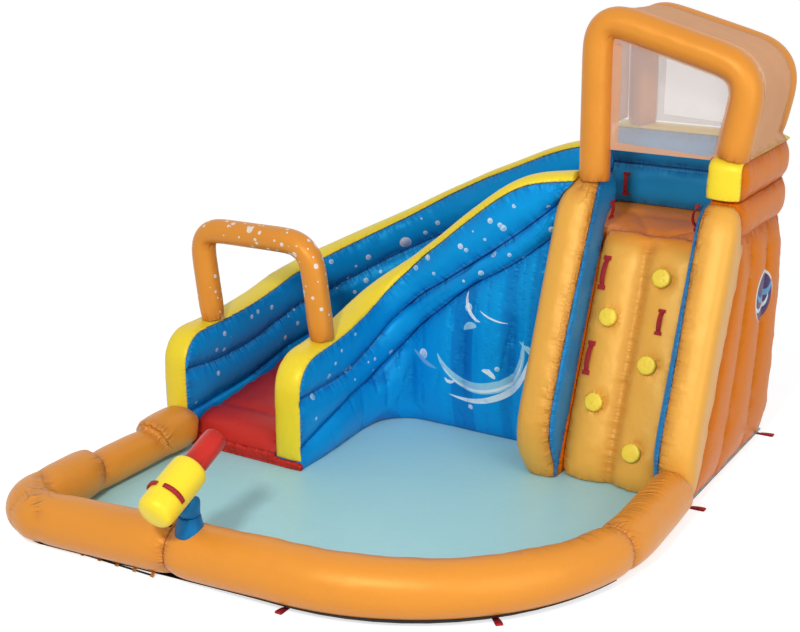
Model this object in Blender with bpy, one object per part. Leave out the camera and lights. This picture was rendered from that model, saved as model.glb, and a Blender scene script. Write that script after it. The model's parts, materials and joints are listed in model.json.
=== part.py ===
"""Inflatable water park: a climbing tower under a net canopy, a curved slide and a splash pool with a water cannon.

Metres, +Z up. The origin is on the underside, in the middle of the footprint.
+X runs along the foot of the climbing wall, +Y from the pool towards the tower.
"""

import math

import bmesh
import bpy
from mathutils import Vector

# Clearance between neighbouring pieces
gap = 0.0003

# Base
sheet_thickness = 0.004
floor_thickness = 0.004
floor_inset = 0.054
sheet_reach = 0.035
sheet_side_inset = 0.065

# Pool wall, one tube of air round the pool
pool_left_x = -1.395
pool_corner_x = -1.375
pool_front_left_y = -1.785
pool_seam_y = -1.702
pool_front_right_y = -1.655
pool_left_corner_radius = 0.17
pool_bend_x = 0.195
pool_bend_radius = 1.315
pool_left_radius = 0.143
pool_dip_radius = 0.115
pool_dip_start_y = -0.71
pool_dip_end_y = -1.22
pool_front_radii = (0.149, 0.158, 0.150, 0.136)
pool_right_radius = 0.136
pool_exit_pinch = 0.80
seam_pinch = 0.93
pool_left_seam_x = -0.36
pool_right_seam_angle = -10.0
pool_end_y = 0.215

# Slide walls, in plan
wall_thickness = 0.20
wall_crease_thickness = 0.13
inner_wall_y = 0.75
inner_start_x = 0.60
inner_bend_x = -0.355
inner_lean = 0.08
inner_bend_radius = 0.30
outer_wall_y = 1.65
outer_bend_x = -0.54
outer_bend_radius = 0.95
slide_end_y = -0.350
end_rounding = 0.18

# Slide walls, in height, at even steps: from the tower to the bend, through it, and along to the exit
inner_top = (1.655, 1.592, 1.360, 1.095, 0.975, 0.870, 0.790, 0.715, 0.672, 0.655)
inner_crease = (1.595, 1.315, 1.079, 0.860, 0.750, 0.630, 0.540, 0.455, 0.438, 0.432)
inner_foot = (1.420, 1.142, 0.940, 0.670, 0.520, 0.400, 0.335, 0.280, 0.200, 0.120)
outer_top = (1.735, 1.657, 1.505, 1.335, 1.080, 0.888, 0.775, 0.709, 0.680, 0.675)
outer_crease = (1.500, 1.420, 1.260, 1.080, 0.850, 0.640, 0.535, 0.460, 0.437, 0.470)
outer_foot = (1.335, 1.220, 1.020, 0.780, 0.550, 0.385, 0.305, 0.235, 0.202, 0.182)
curtain_seams = (0.23, 0.56, 0.95, 1.46)
outer_cell_width = 0.36
curtain_bulge = 0.045

# Yellow bands over the walls and rails
band_width = 0.18
inner_crowns = (0.052, 0.050, 0.036, 0.034)
outer_crowns = (0.036, 0.036, 0.022, 0.020)
band_crown = 0.034
outer_band_width = 0.165
band_foot_height = 0.056

# Slide bed
bed_thickness = 0.15
bed_crown = 0.035
bed_clearance = 0.004
sill_height = 0.078
sill_depth = 0.030

# Sprinkler arch over the exit
sprinkler_radius = 0.080
sprinkler_left_x = -1.453
sprinkler_right_x = -0.629
sprinkler_left_y = -0.012
sprinkler_right_y = -0.022
sprinkler_left_top = 1.265
sprinkler_right_top = 1.282
sprinkler_lean = 0.075
sprinkler_corner = 0.18

# Tower
tower_left_x = 0.51
tower_right_x = 1.59
tower_back_y = 1.75
column_width = 0.245
column_proud = 0.25
column_corner = 0.08
column_foot_height = 0.40
column_foot_depth = 0.03
column_head_rounding = 0.12
column_shoulder = 0.11
column_shoulder_z = 1.45
column_toe = 0.075
column_back_reach = 0.11
lining_thickness = 0.018
lining_foot_seam_angle = 72.0
lining_left_seam_angle = 45.0
lining_right_seam_angle = 24.0
lining_top_seam_angle = 70.0
climb_foot_y = 0.33
climb_knee_y = 0.852
climb_knee_z = 1.355
climb_thickness = 0.20
climb_bulge = 0.035
left_column_top = 1.685
right_column_top = 1.622
platform_top = 1.375
platform_thickness = 0.135
platform_front_y = 0.935
panel_thickness = 0.215
panel_bulge = 0.030
panel_cell_width = 0.46
rail_crease_z = 1.625
rail_top = 1.845
rail_foot = 1.405
rail_front_y = 0.795
lower_rail_front_y = 0.815
rail_corner = 0.05
rail_back_thickness = 0.24
rail_front_share = 0.80
rail_front_taper = 0.10

# Arches and nets
arch_radius = 0.092
front_arch_y = 0.825
rear_arch_y = 1.625
front_arch_left_x = 0.697
front_arch_right_x = 1.494
front_arch_left_top = 2.597
front_arch_right_top = 2.347
front_arch_flare = 0.085
rear_arch_left_x = 0.655
rear_arch_right_x = 1.438
rear_arch_left_top = 2.557
rear_arch_right_top = 2.317
rear_arch_flare = 0.088
arch_corner = 0.20
net_thickness = 0.004
net_clearance = 0.0005
arch_sides = 14
net_seat_angle = 360 / arch_sides * 2
front_net_hem_z = 1.845
side_net_hem_z = 1.905

# Holds and webbing
hold_radius = 0.052
hold_height = 0.034
hold_spots = ((1.166, 1.152), (0.895, 0.906), (1.175, 0.689), (0.905, 0.447), (1.180, 0.225))
handle_length = 0.19
handle_width = 0.034
handle_height = 0.016
climb_handle_spots = ((0.818, 1.137), (1.202, 0.923), (0.820, 0.673))
handle_upright_length = 0.14
platform_handle_left_length = 0.105
platform_handle_left_y = 0.968
platform_handle_left_z = 1.465
platform_handle_right_y = 0.735
platform_handle_right_z = 1.540
rail_handle_x = 0.613
tie_length = 0.085
tie_width = 0.040

# Water cannon
pedestal_x = -0.262
pedestal_base_radius = 0.094
pedestal_top_radius = 0.058
knuckle_radius = 0.042
knuckle_length = 0.085
swivel_height = 0.022
cannon_pitch_z = 0.424
cannon_radius = 0.100
cannon_length = 0.345
cannon_behind_pivot = 0.238
cannon_tilt = 24.5
barrel_radius = 0.064
barrel_length = 0.218
grip_rounding = 0.066
strap_width = 0.024
strap_height = 0.011
strap_span = 78.0
strap_place = -0.115
hose_stub_radius = 0.016
hose_stub_length = 0.045

# Air inlet sleeve at the back
sleeve_radius = 0.085
sleeve_length = 0.11
sleeve_x = 1.05
sleeve_z = 0.14

# Fabric colours, as sRGB values
orange = (226, 150, 58)
deep_orange = (206, 116, 42)
yellow = (250, 226, 60)
blue = (28, 132, 200)
light_blue = (150, 198, 209)
red = (203, 62, 50)
dark = (44, 40, 44)
peach = (228, 180, 150)
cone_blue = (24, 100, 172)

UP = Vector((0.0, 0.0, 1.0))

base_z = sheet_thickness + gap
stand_z = base_z + floor_thickness + gap


def collection(name):
    made = bpy.data.collections.new(name)
    bpy.context.scene.collection.children.link(made)
    return made


for old in list(bpy.data.objects):
    bpy.data.objects.remove(old)
park = collection("inflatable_water_park")
cutters = collection("cutters")


def linear(colour):
    return tuple(((c / 255 + 0.055) / 1.055) ** 2.4 for c in colour) + (1.0,)


def fabric(name, colour, roughness=0.45, alpha=1.0):
    made = bpy.data.materials.new(name + "_fabric")
    made.use_nodes = True
    shader = made.node_tree.nodes["Principled BSDF"]
    shader.inputs["Base Color"].default_value = linear(colour)
    shader.inputs["Roughness"].default_value = roughness
    shader.inputs["Metallic"].default_value = 0.0
    shader.inputs["Alpha"].default_value = alpha
    made.diffuse_color = linear(colour)
    return made


def place(name, data, colour, roughness=0.45, alpha=1.0):
    made = bpy.data.objects.new(name, data)
    data.materials.append(fabric(name, colour, roughness, alpha))
    park.objects.link(made)
    return made


def loft(name, rings, colour, **looks):
    """A closed body through rings of points, with both ends closed.

    Each four-sided face is split from its corner nearest the front left, so that stacked pieces meet without crossing.
    """
    mesh = bmesh.new()
    rows = [[mesh.verts.new(point) for point in ring] for ring in rings]
    for row, following in zip(rows, rows[1:]):
        for i in range(len(row)):
            j = (i + 1) % len(row)
            corners = [row[i], row[j], following[j], following[i]]
            nearness = [corner.co.x + 0.7 * corner.co.y + 0.01 * corner.co.z for corner in corners]
            first = nearness.index(min(nearness))
            a, b, c, d = corners[first:] + corners[:first]
            mesh.faces.new((a, b, c))
            mesh.faces.new((a, c, d))
    mesh.faces.new(rows[0][::-1])
    mesh.faces.new(rows[-1])
    bmesh.ops.recalc_face_normals(mesh, faces=mesh.faces)
    data = bpy.data.meshes.new(name)
    mesh.to_mesh(data)
    mesh.free()
    data.shade_smooth()
    data.set_sharp_from_angle(angle=math.radians(50))
    return place(name, data, colour, **looks)


def tube(name, points, radius, colour, radii=None, resolution=5, **looks):
    """A round tube of air along the points, with flat ends."""
    curve = bpy.data.curves.new(name, "CURVE")
    curve.dimensions = "3D"
    curve.bevel_depth = radius
    curve.bevel_resolution = resolution
    curve.use_fill_caps = True
    curve.resolution_u = 1
    spline = curve.splines.new("POLY")
    spline.points.add(len(points) - 1)
    for i, (target, point) in enumerate(zip(spline.points, points)):
        target.co = (*point, 1.0)
        target.radius = radii[i] / radius if radii else 1.0
    return place(name, curve, colour, **looks)


def plate(name, outline, thickness, colour, **looks):
    """A flat sheet: the outline filled and given its thickness, centred on its own plane."""
    curve = bpy.data.curves.new(name, "CURVE")
    curve.dimensions = "2D"
    curve.fill_mode = "BOTH"
    curve.extrude = thickness / 2
    spline = curve.splines.new("POLY")
    spline.points.add(len(outline) - 1)
    for target, (x, y) in zip(spline.points, outline):
        target.co = (x, y, 0.0, 1.0)
    spline.use_cyclic_u = True
    return place(name, curve, colour, **looks)


def solid_mesh(piece):
    """The piece as one welded mesh in the world's axes."""
    bpy.context.view_layer.update()
    seen = piece.evaluated_get(bpy.context.evaluated_depsgraph_get())
    data = bpy.data.meshes.new_from_object(seen)
    mesh = bmesh.new()
    mesh.from_mesh(data)
    bmesh.ops.transform(mesh, matrix=piece.matrix_world, verts=mesh.verts)
    bmesh.ops.remove_doubles(mesh, verts=mesh.verts, dist=0.00002)
    bmesh.ops.recalc_face_normals(mesh, faces=mesh.faces)
    mesh.to_mesh(data)
    mesh.free()
    return data


def as_mesh(piece):
    """Turns a curve piece into a mesh piece of the same name."""
    data = solid_mesh(piece)
    name = piece.name
    made = bpy.data.objects.new(name + "_mesh", data)
    park.objects.link(made)
    bpy.data.objects.remove(piece)
    made.name = name
    return made


def cut_round(piece, neighbours, clearance=gap):
    """Takes the neighbours, grown by the clearance, out of the piece, so that it seats on them."""
    for neighbour in neighbours:
        data = solid_mesh(neighbour)
        mesh = bmesh.new()
        mesh.from_mesh(data)
        mesh.normal_update()
        moves = [(vertex, vertex.normal * clearance * 1.3) for vertex in mesh.verts]
        for vertex, move in moves:
            vertex.co += move
        mesh.to_mesh(data)
        mesh.free()
        cutter = bpy.data.objects.new(f"{piece.name}_less_{neighbour.name}", data)
        cutters.objects.link(cutter)
        cutter.hide_render = True
        cutter.display_type = "WIRE"
        cut = piece.modifiers.new(neighbour.name, "BOOLEAN")
        cut.operation = "DIFFERENCE"
        cut.object = cutter
    return piece


def lerp(a, b, t):
    return a + (b - a) * t


def ease(t):
    t = min(1.0, max(0.0, t))
    return t * t * (3 - 2 * t)


def through(values, u):
    """A smooth curve through values that stand at 0, 1, 2 and so on."""
    last = len(values) - 1
    i = min(int(u), last - 1)
    t = u - i
    before = values[max(i - 1, 0)]
    a, b = values[i], values[i + 1]
    after = values[min(i + 2, last)]
    start = (b - before) / 2 if i > 0 else b - a
    end = (after - a) / 2 if i + 2 <= last else b - a
    t2, t3 = t * t, t * t * t
    return a * (2 * t3 - 3 * t2 + 1) + start * (t3 - 2 * t2 + t) + b * (3 * t2 - 2 * t3) + end * (t3 - t2)


def steps(first, last, count):
    return [lerp(first, last, i / count) for i in range(count + 1)]


# Slide walls

slide_start_x = tower_left_x - gap


def wall_path(start_x, wall_y, bend_x, radius, lean=0.0):
    """The wall's centre line in plan: along -X from the tower, a quarter turn, then along -Y to the exit.

    Where it meets the tower, the upper part of the wall leans back by the given amount.
    """
    def at(u, share=1.0):
        if u <= 1:
            x = lerp(start_x, bend_x, u)
            back = lean * share * ease((x - start_x + 0.45) / 0.45)
            return Vector((x, wall_y + back, 0)), Vector((-1, 0, 0))
        if u <= 2:
            turn = math.radians(90 + 90 * (u - 1))
            out = Vector((math.cos(turn), math.sin(turn), 0))
            centre = Vector((bend_x, wall_y - radius, 0))
            return centre + radius * out, Vector((-math.sin(turn), math.cos(turn), 0))
        return Vector((bend_x - radius, lerp(wall_y - radius, slide_end_y, u - 2), 0)), Vector((0, -1, 0))
    lengths = (start_x - bend_x, math.pi / 2 * radius, wall_y - radius - slide_end_y)
    return at, lengths


inner_path, inner_lengths = wall_path(inner_start_x, inner_wall_y, inner_bend_x, inner_bend_radius, inner_lean)
outer_path, outer_lengths = wall_path(slide_start_x, outer_wall_y, outer_bend_x, outer_bend_radius)
inner_at_tower = (inner_start_x - slide_start_x) / inner_lengths[0]


def height(values, u):
    """A height of the wall at station u: each of the three stretches has three steps of the values."""
    return through(values, 3 * u)


def distance_along(lengths, u):
    return sum(lengths[: int(min(u, 2))]) + lengths[min(int(u), 2)] * (u - min(int(u), 2))


def station_at(lengths, distance):
    """The station u that lies this far along the path."""
    for i, length in enumerate(lengths):
        if distance <= length or i == 2:
            return min(i + distance / length, 3.0)
        distance -= length


def rounding_drop(lengths, u, radius):
    """How far the rounded front corner has fallen at station u."""
    left = distance_along(lengths, 3.0) - distance_along(lengths, u)
    if left >= radius:
        return 0.0
    return radius - math.sqrt(max(radius * radius - (radius - left) ** 2, 0.0))


def wall_stations(lengths, seams, first):
    """Stations along a wall: the ends, three between each two seams, the bend and the rounded front corner."""
    corner = 3.0 - end_rounding / lengths[2]
    start = distance_along(lengths, first)
    marks = [start] + [start + seam for seam in seams] + [distance_along(lengths, corner)]
    found = [0.0] if first > 0 else []
    for before, after in zip(marks, marks[1:]):
        count = 4 if after - before > 0.18 else 2
        found += [station_at(lengths, lerp(before, after, k / count)) for k in range(count)]
    found += [lerp(corner, 3.0, math.sin(math.pi / 2 * k / 5)) for k in range(6)]
    return found


def puffed(t, low, middle, high):
    """Half thickness of a tube of a wall, t of the way up: pinched at both creases."""
    edge = low if t < 0.5 else high
    return edge + (middle - edge) * math.sqrt(max(0.0, math.sin(math.pi * t)))


full = wall_thickness / 2
pinch = wall_crease_thickness / 2
band_half = band_width / 2


def wall_tube(name, path, stations, low_at, high_at, high_half, colour, side_steps=6):
    """One of the wall's stacked tubes, between two heights that change along the path."""
    rings = []
    for u in stations:
        middle, along = path(u)
        across = Vector((-along.y, along.x, 0))
        low, high = low_at(u), high_at(u)
        levels = [i / side_steps for i in range(side_steps + 1)]
        right = [middle + across * puffed(t, pinch, full, high_half) + UP * lerp(low, high, t) for t in levels]
        left = [middle - across * puffed(t, pinch, full, high_half) + UP * lerp(low, high, t) for t in levels]
        rings.append(right + left[::-1])
    return loft(name, rings, colour)


def curtain(name, path, lengths, foot, pool_side, stations, seams, first, colour):
    """The wall's lowest part: a row of upright cells on the outside, flat on the slide's side."""
    start = distance_along(lengths, first)
    marks = [0.0] + list(seams) + [distance_along(lengths, 3.0) - start + 0.3]
    levels = (0.0, 0.06, 0.3, 0.7, 0.94, 1.0)
    rings = []
    for u in stations:
        if u < first:
            continue
        along = path(u)[1]
        across = Vector((-along.y, along.x, 0)) * pool_side
        wide = lerp(pinch, full, ease((u - 2.1) / 0.7))
        here = distance_along(lengths, u) - start
        cell = max(i for i in range(len(marks) - 1) if here >= marks[i] - 1e-6)
        share = (here - marks[cell]) / (marks[cell + 1] - marks[cell])
        swell = max(0.0, math.sin(math.pi * share)) ** 0.6 if share > 0.001 else 0.0
        swell *= min(1.0, (distance_along(lengths, 3.0) - distance_along(lengths, u)) / 0.3)
        top = height(foot, u) - gap
        outside, inside = [], []
        for t in levels:
            round_off = min(1.0, math.sin(math.pi * t) * 1.6) if 0 < t < 1 else 0.0
            level = lerp(stand_z, top, t)
            middle = path(u, t)[0]
            reach = pinch + (full - pinch - curtain_bulge * 0.4 + curtain_bulge * swell) * round_off
            reach = max(reach, wide) if t < 0.5 else reach
            outside.append(middle + across * reach + UP * level)
            inside.append(middle - across * lerp(pinch, full, min(1.0, round_off * 1.5)) + UP * level)
        rings.append(outside + inside[::-1])
    return loft(name, rings, colour)


def band(name, centre_line, normals, colour, half=band_half, crown=band_crown, sideways=None, crowns=None):
    """A strip with a flat underside and a crowned top, along points with their outward directions."""
    rings = []
    last = len(centre_line) - 1
    for i, (point, normal) in enumerate(zip(centre_line, normals)):
        along = (centre_line[min(i + 1, last)] - centre_line[max(i - 1, 0)]).normalized()
        across = sideways[i] if sideways else along.cross(normal).normalized()
        crown = crowns[i] if crowns else crown
        ring = []
        for k in range(7):
            turn = math.pi * k / 6
            rise = 0.25 + 0.75 * math.sin(turn)
            ring.append(point + across * half * math.cos(turn) + normal * crown * rise)
        ring.append(point - across * half + normal * gap)
        ring.append(point + across * half + normal * gap)
        rings.append(ring)
    return loft(name, rings, colour)


def wall_band(name, path, lengths, tops, heights, half, stations, colour):
    """The yellow band: along the wall's top, round the front corner and down the end face."""
    points, outward, sideways = [], [], []
    crowns = [through(heights, u) for u in stations]
    for u in stations:
        middle, along = path(u)
        points.append(middle + UP * (height(tops, u) - rounding_drop(lengths, u, end_rounding)))
        sideways.append(Vector((along.y, -along.x, 0)))
    end = points[-1].copy()
    foot = Vector((end.x, end.y, band_foot_height))
    for t in steps(0, 1, 5)[1:]:
        points.append(end.lerp(foot, t))
        sideways.append(sideways[-1])
        crowns.append(crowns[-1] * (0.45 if t == 1 else 1.0))
    last = len(points) - 1
    for i, point in enumerate(points):
        run = (points[min(i + 1, last)] - points[max(i - 1, 0)]).normalized()
        outward.append(run.cross(-sideways[i]).normalized())
    return band(name, points, outward, colour, half, sideways=sideways, crowns=crowns)


def slide_walls():
    outer_count = int((distance_along(outer_lengths, 3.0) - end_rounding - 0.1) / outer_cell_width)
    outer_seams = [outer_cell_width * (k + 1) for k in range(outer_count)]
    for side, path, lengths, tops, creases, feet, crowns, half, pool_side, seams, first in (
        ("inner", inner_path, inner_lengths, inner_top, inner_crease, inner_foot, inner_crowns, band_half,
         1, curtain_seams, inner_at_tower),
        ("outer", outer_path, outer_lengths, outer_top, outer_crease, outer_foot, outer_crowns, outer_band_width / 2,
         -1, outer_seams, 0.0),
    ):
        stations = wall_stations(lengths, seams, first)

        def top_at(u):
            return height(tops, u) - rounding_drop(lengths, u, end_rounding)

        def crease_at(u):
            return min(height(creases, u), top_at(u) - 0.03)

        def upper_low(u):
            return crease_at(u) + gap

        def lower_low(u):
            return height(feet, u)

        wall_tube(f"slide_{side}_wall_upper", path, stations, upper_low, top_at, half, blue)
        wall_tube(f"slide_{side}_wall_lower", path, stations, lower_low, crease_at, pinch, blue)
        curtain(f"slide_{side}_curtain", path, lengths, feet, pool_side, stations, seams, first, blue)
        wall_band(f"slide_{side}_band", path, lengths, tops, crowns, half, stations, yellow)


# Slide bed and sill


def slide_bed():
    """The red lane between the walls: thick and crowned, down to the base at the exit."""
    nose = 0.10
    stations = steps(0, 1, 7) + steps(1, 2, 10)[1:] + steps(2, 3 - nose / inner_lengths[2], 5)[1:]
    stations += [3 - nose / inner_lengths[2] * k for k in (0.62, 0.3, 0.09, 0.0)]
    reach = full + bed_clearance
    rings = []
    for u in stations:
        inner_u = lerp(inner_at_tower, 1, u) if u < 1 else u
        inner_middle, inner_along = inner_path(inner_u)
        outer_middle, outer_along = outer_path(u)
        inner_edge = inner_middle - Vector((-inner_along.y, inner_along.x, 0)) * reach
        outer_edge = outer_middle + Vector((-outer_along.y, outer_along.x, 0)) * reach
        inner_height, outer_height = height(inner_foot, inner_u) - 0.012, height(outer_foot, u) - 0.012
        left = distance_along(inner_lengths, 3.0) - distance_along(inner_lengths, inner_u)
        round_off = math.sqrt(max(0.0, 1 - max(0.0, 1 - left / nose) ** 2)) if left < nose else 1.0
        round_off = max(round_off, 0.30)
        top, under = [], []
        for k in range(7):
            t = k / 6
            edge = lerp(inner_height, outer_height, t)
            crown = bed_crown * math.sin(math.pi * t) ** 0.5 if 0 < k < 6 else 0.0
            under_height = max(stand_z, edge - bed_thickness)
            spot = inner_edge.lerp(outer_edge, t)
            top.append(spot + UP * lerp(under_height, edge + crown, round_off))
            if k % 2 == 0:
                under.append(spot + UP * under_height)
        rings.append(top + under[::-1])
    return loft("slide_bed", rings, red)


def exit_sill():
    """The red roll across the exit, lower where it runs under the feet of both yellow bands."""
    left = outer_path(3.0)[0].x - outer_band_width / 2
    right = inner_path(3.0)[0].x + full
    post_edges = (left + outer_band_width, inner_path(3.0)[0].x - band_half)
    back = slide_end_y - gap
    low = stand_z
    under_post = band_foot_height - gap - low
    rings = []
    for x, tall in (
        (left, under_post * 0.8), (left + 0.012, under_post),
        (post_edges[0] + 0.001, under_post), (post_edges[0] + 0.006, sill_height),
        (post_edges[1] - 0.006, sill_height), (post_edges[1] - 0.001, under_post),
        (right - 0.012, under_post), (right, under_post * 0.8),
    ):
        deep = sill_depth * (0.8 if x in (left, right) else 1.0)
        ring = [Vector((x, back, low)), Vector((x, back, low + tall - 0.002))]
        for turn in steps(0, math.pi / 2, 6)[1:-1]:
            rise = (tall - 0.002) * math.cos(turn) ** 0.7
            ring.append(Vector((x, back - deep * math.sin(turn), low + rise)))
        ring.append(Vector((x, back - deep, low)))
        rings.append(ring)
    return loft("slide_exit_sill", rings, red)


# Pool

pool_left_corner = Vector((pool_corner_x + pool_left_corner_radius, pool_front_left_y + pool_left_corner_radius, 0))
pool_bend_centre = Vector((pool_bend_x, pool_front_right_y + pool_bend_radius, 0))


def arc(centre, radius, first, last, count):
    found = []
    for turn in steps(math.radians(first), math.radians(last), count):
        found.append(centre + radius * Vector((math.cos(turn), math.sin(turn), 0)))
    return found


def pool_front_y(x):
    """Where the front of the pool wall stands: it swings forward from the seam towards the left corner."""
    if x < pool_left_seam_x:
        share = (x - pool_left_corner.x) / (pool_left_seam_x - pool_left_corner.x)
        return lerp(pool_front_left_y, pool_seam_y, share)
    return lerp(pool_seam_y, pool_front_right_y, (x - pool_left_seam_x) / (pool_bend_x - pool_left_seam_x))


def pool_left_at(y):
    """Where the pool's left wall stands: it swings out a little towards the front corner."""
    return lerp(pool_left_x, pool_corner_x, ease((pool_dip_end_y + 0.05 - y) / 0.30))


def pool_left_line():
    """From the slide's outer post down the left side, round the front corner and along to the first seam."""
    start = slide_end_y - gap - band_crown - 0.004
    dip = steps(pool_dip_start_y, pool_dip_end_y, 4)
    heights = [start, lerp(start, pool_dip_start_y, 0.5), pool_dip_start_y + 0.03] + dip
    heights += [dip[-1] - 0.04, dip[-1] - 0.14, dip[-1] - 0.24]
    side = [Vector((pool_left_at(y), y, 0)) for y in heights]
    corner = arc(pool_left_corner, pool_left_corner_radius, 180, 270, 7)
    front = [Vector((x, pool_front_y(x), 0)) for x in steps(pool_left_corner.x, pool_left_seam_x - gap, 5)[1:]]
    return side + corner + front


def pool_left_radii(points):
    found = []
    for point in points:
        if pool_dip_end_y - 0.001 <= point.y <= pool_dip_start_y + 0.001 and point.x < pool_left_x + 0.01:
            found.append(pool_dip_radius)
        else:
            t = ease((point.x - pool_corner_x - 0.25) / (pool_left_seam_x - pool_corner_x - 0.25))
            found.append(lerp(pool_left_radius, pool_front_radii[0], t))
    return found


def pool_front_line():
    straight = [Vector((x, pool_front_y(x), 0)) for x in steps(pool_left_seam_x + gap, pool_bend_x, 4)[:-1]]
    return straight + arc(pool_bend_centre, pool_bend_radius, -90, pool_right_seam_angle, 18)


def pool_right_line():
    start = pool_right_seam_angle + math.degrees(2 * gap / pool_bend_radius)
    bend = arc(pool_bend_centre, pool_bend_radius, start, 0, 3)
    end = Vector((bend[-1].x - 0.02, pool_end_y, 0))
    return bend + [bend[-1].lerp(end, t) for t in steps(0, 1, 4)[1:]]


def rested(points, radii):
    """The points raised so that a tube of these radii lies on the ground sheet."""
    return [Vector((p.x, p.y, base_z + r)) for p, r in zip(points, radii)]


def seamed(radii):
    """Radii drawn in a little at the seams that end the tube."""
    return [radii[0] * seam_pinch] + list(radii[1:-1]) + [radii[-1] * seam_pinch]


def with_seam_points(points, first_along, last_along, first_reach=0.03, reach=0.03):
    """The points with one more just inside each end, so that only the seam itself is drawn in."""
    first, last = points[0], points[-1]
    return [first, first + first_along * first_reach] + points[1:-1] + [last - last_along * reach, last]


def pool_wall(name, points, radii):
    """A length of the wall that lies on the ground sheet, drawn in at its two seams."""
    radii[1], radii[-2] = radii[0], radii[-1]
    return tube(name, rested(points, radii), pool_front_radii[0], orange, seamed(radii))


def pool_walls():
    left = pool_left_line()
    front = pool_front_line()
    right = pool_right_line()
    left_seam = (front[1] - front[0]).normalized()
    turn = math.radians(pool_right_seam_angle)
    right_seam = Vector((-math.sin(turn), math.cos(turn), 0))
    left = with_seam_points(left, (left[1] - left[0]).normalized(), left_seam, 0.08)
    left_radii = pool_left_radii(left)
    left_radii[-2] = left_radii[-1]
    drawn_in = [left_radii[0] * pool_exit_pinch] + left_radii[1:-1] + [left_radii[-1] * seam_pinch]
    resting = [left_radii[0] * pool_exit_pinch] + left_radii[1:]
    tube("pool_wall_left", rested(left, resting), pool_front_radii[0], orange, drawn_in)
    front = with_seam_points(front, left_seam, right_seam)
    last = len(front) - 1
    front_radii = [through(pool_front_radii, 3 * i / last) for i in range(last + 1)]
    pool_wall("pool_wall_front", front, front_radii)
    right = with_seam_points(right, right_seam, (right[-1] - right[-2]).normalized())
    pool_wall("pool_wall_right", right, [pool_right_radius] * len(right))


def outline_round(pool_reach, side_reach, step_y):
    """The footprint's outline: round the pool wall's centre line, the tower's sides and the slide's outer wall."""
    heights = (slide_end_y - 0.05, pool_dip_end_y, pool_dip_end_y - 0.24)
    left = [Vector((pool_left_at(y) - pool_reach, y, 0)) for y in heights]
    corner = arc(pool_left_corner, pool_left_corner_radius + pool_reach, 180, 270, 6)
    bend = arc(pool_bend_centre, pool_bend_radius + pool_reach, -90, 0, 16)
    right = tower_right_x - side_reach
    back = tower_back_y - side_reach
    pool_end = Vector((min(bend[-1].x, right), step_y, 0))
    slide_centre = Vector((outer_bend_x, outer_wall_y - outer_bend_radius, 0))
    turn = arc(slide_centre, outer_bend_radius + full - side_reach, 90, 180, 10)
    points = left + corner + bend + [pool_end, Vector((right, step_y + 0.02, 0)), Vector((right, back, 0))]
    points += turn + [Vector((turn[-1].x, slide_end_y - 0.03, 0)), Vector((left[0].x, slide_end_y - 0.03, 0))]
    return [(p.x, p.y) for p in points]


def ground_sheet():
    outline = outline_round(sheet_reach, sheet_side_inset, 0.20)
    sheet = plate("ground_sheet", outline, sheet_thickness, dark, roughness=0.6)
    sheet.location.z = sheet_thickness / 2
    return sheet


def pool_floor():
    """The pale blue sheet inside the pool wall, which runs on under the slide and the tower."""
    outline = outline_round(-floor_inset, sheet_side_inset + 0.005, 0.235)
    sheet = plate("pool_floor", outline, floor_thickness, light_blue)
    sheet.location.z = base_z + floor_thickness / 2
    return sheet


# Sprinkler arch


def rounded_route(corners, radius, corner_steps, run_steps=2):
    """A route through the corners, each of them rounded."""
    found = [corners[0]]
    for before, corner, after in zip(corners, corners[1:], corners[2:]):
        start = corner + (before - corner).normalized() * radius
        end = corner + (after - corner).normalized() * radius
        previous = found[-1]
        found += [previous.lerp(start, k / run_steps) for k in range(1, run_steps)]
        for t in steps(0, 1, corner_steps):
            found.append(start.lerp(corner, t).lerp(corner.lerp(end, t), t))
    previous = found[-1]
    found += [previous.lerp(corners[-1], k / run_steps) for k in range(1, run_steps + 1)]
    return found


def sprinkler_foot(y, tops, lengths, crowns):
    """The height just inside the yellow band on which a leg of the arch stands."""
    u = 3.0 - (y - slide_end_y) / lengths[2]
    return height(tops, u) + through(crowns, u) * 0.60


def sprinkler_arch(seats):
    corners = [
        Vector((sprinkler_left_x, sprinkler_left_y, sprinkler_foot(sprinkler_left_y, outer_top, outer_lengths,
                                                                       outer_crowns))),
        Vector((sprinkler_left_x - sprinkler_lean, sprinkler_left_y, sprinkler_left_top)),
        Vector((sprinkler_right_x - sprinkler_lean, sprinkler_right_y, sprinkler_right_top)),
        Vector((sprinkler_right_x, sprinkler_right_y, sprinkler_foot(sprinkler_right_y, inner_top, inner_lengths,
                                                                         inner_crowns))),
    ]
    route = rounded_route(corners, sprinkler_corner, 6, 3)
    arch = as_mesh(tube("sprinkler_arch", route, sprinkler_radius, orange, resolution=4))
    return cut_round(arch, seats)


# Tower

left_column = (tower_left_x, tower_left_x + column_width)
right_column = (tower_right_x - column_width, tower_right_x)
climb_left_x = left_column[1] + gap
climb_right_x = right_column[0] - gap
climb_slope = (climb_knee_y - climb_foot_y) / climb_knee_z
column_back_y = platform_front_y - gap * 2


def slope_y(z):
    """Where the climbing wall's face stands at height z."""
    return climb_foot_y + climb_slope * z


def column_back(z, reach=0.0):
    """Where a column's back stands: above the platform the left one reaches back, and the right one makes room."""
    if reach < 0 and z > rail_foot - 1.5 * gap:
        return lower_rail_front_y - gap
    above = ease((z - platform_top - 2 * gap) / 0.16)
    return min(slope_y(z), column_back_y) + max(reach, 0.0) * above


def column_inset(z):
    """How far the outer side is drawn in: rounded at the toe and over the shoulder."""
    low = max(0.0, 1 - z / 0.16)
    high = min(1.0, max(0.0, z - column_shoulder_z) / (left_column_top - column_shoulder_z))
    return column_toe * low ** 2 + column_shoulder * (1 - math.sqrt(1 - high * high))


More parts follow.
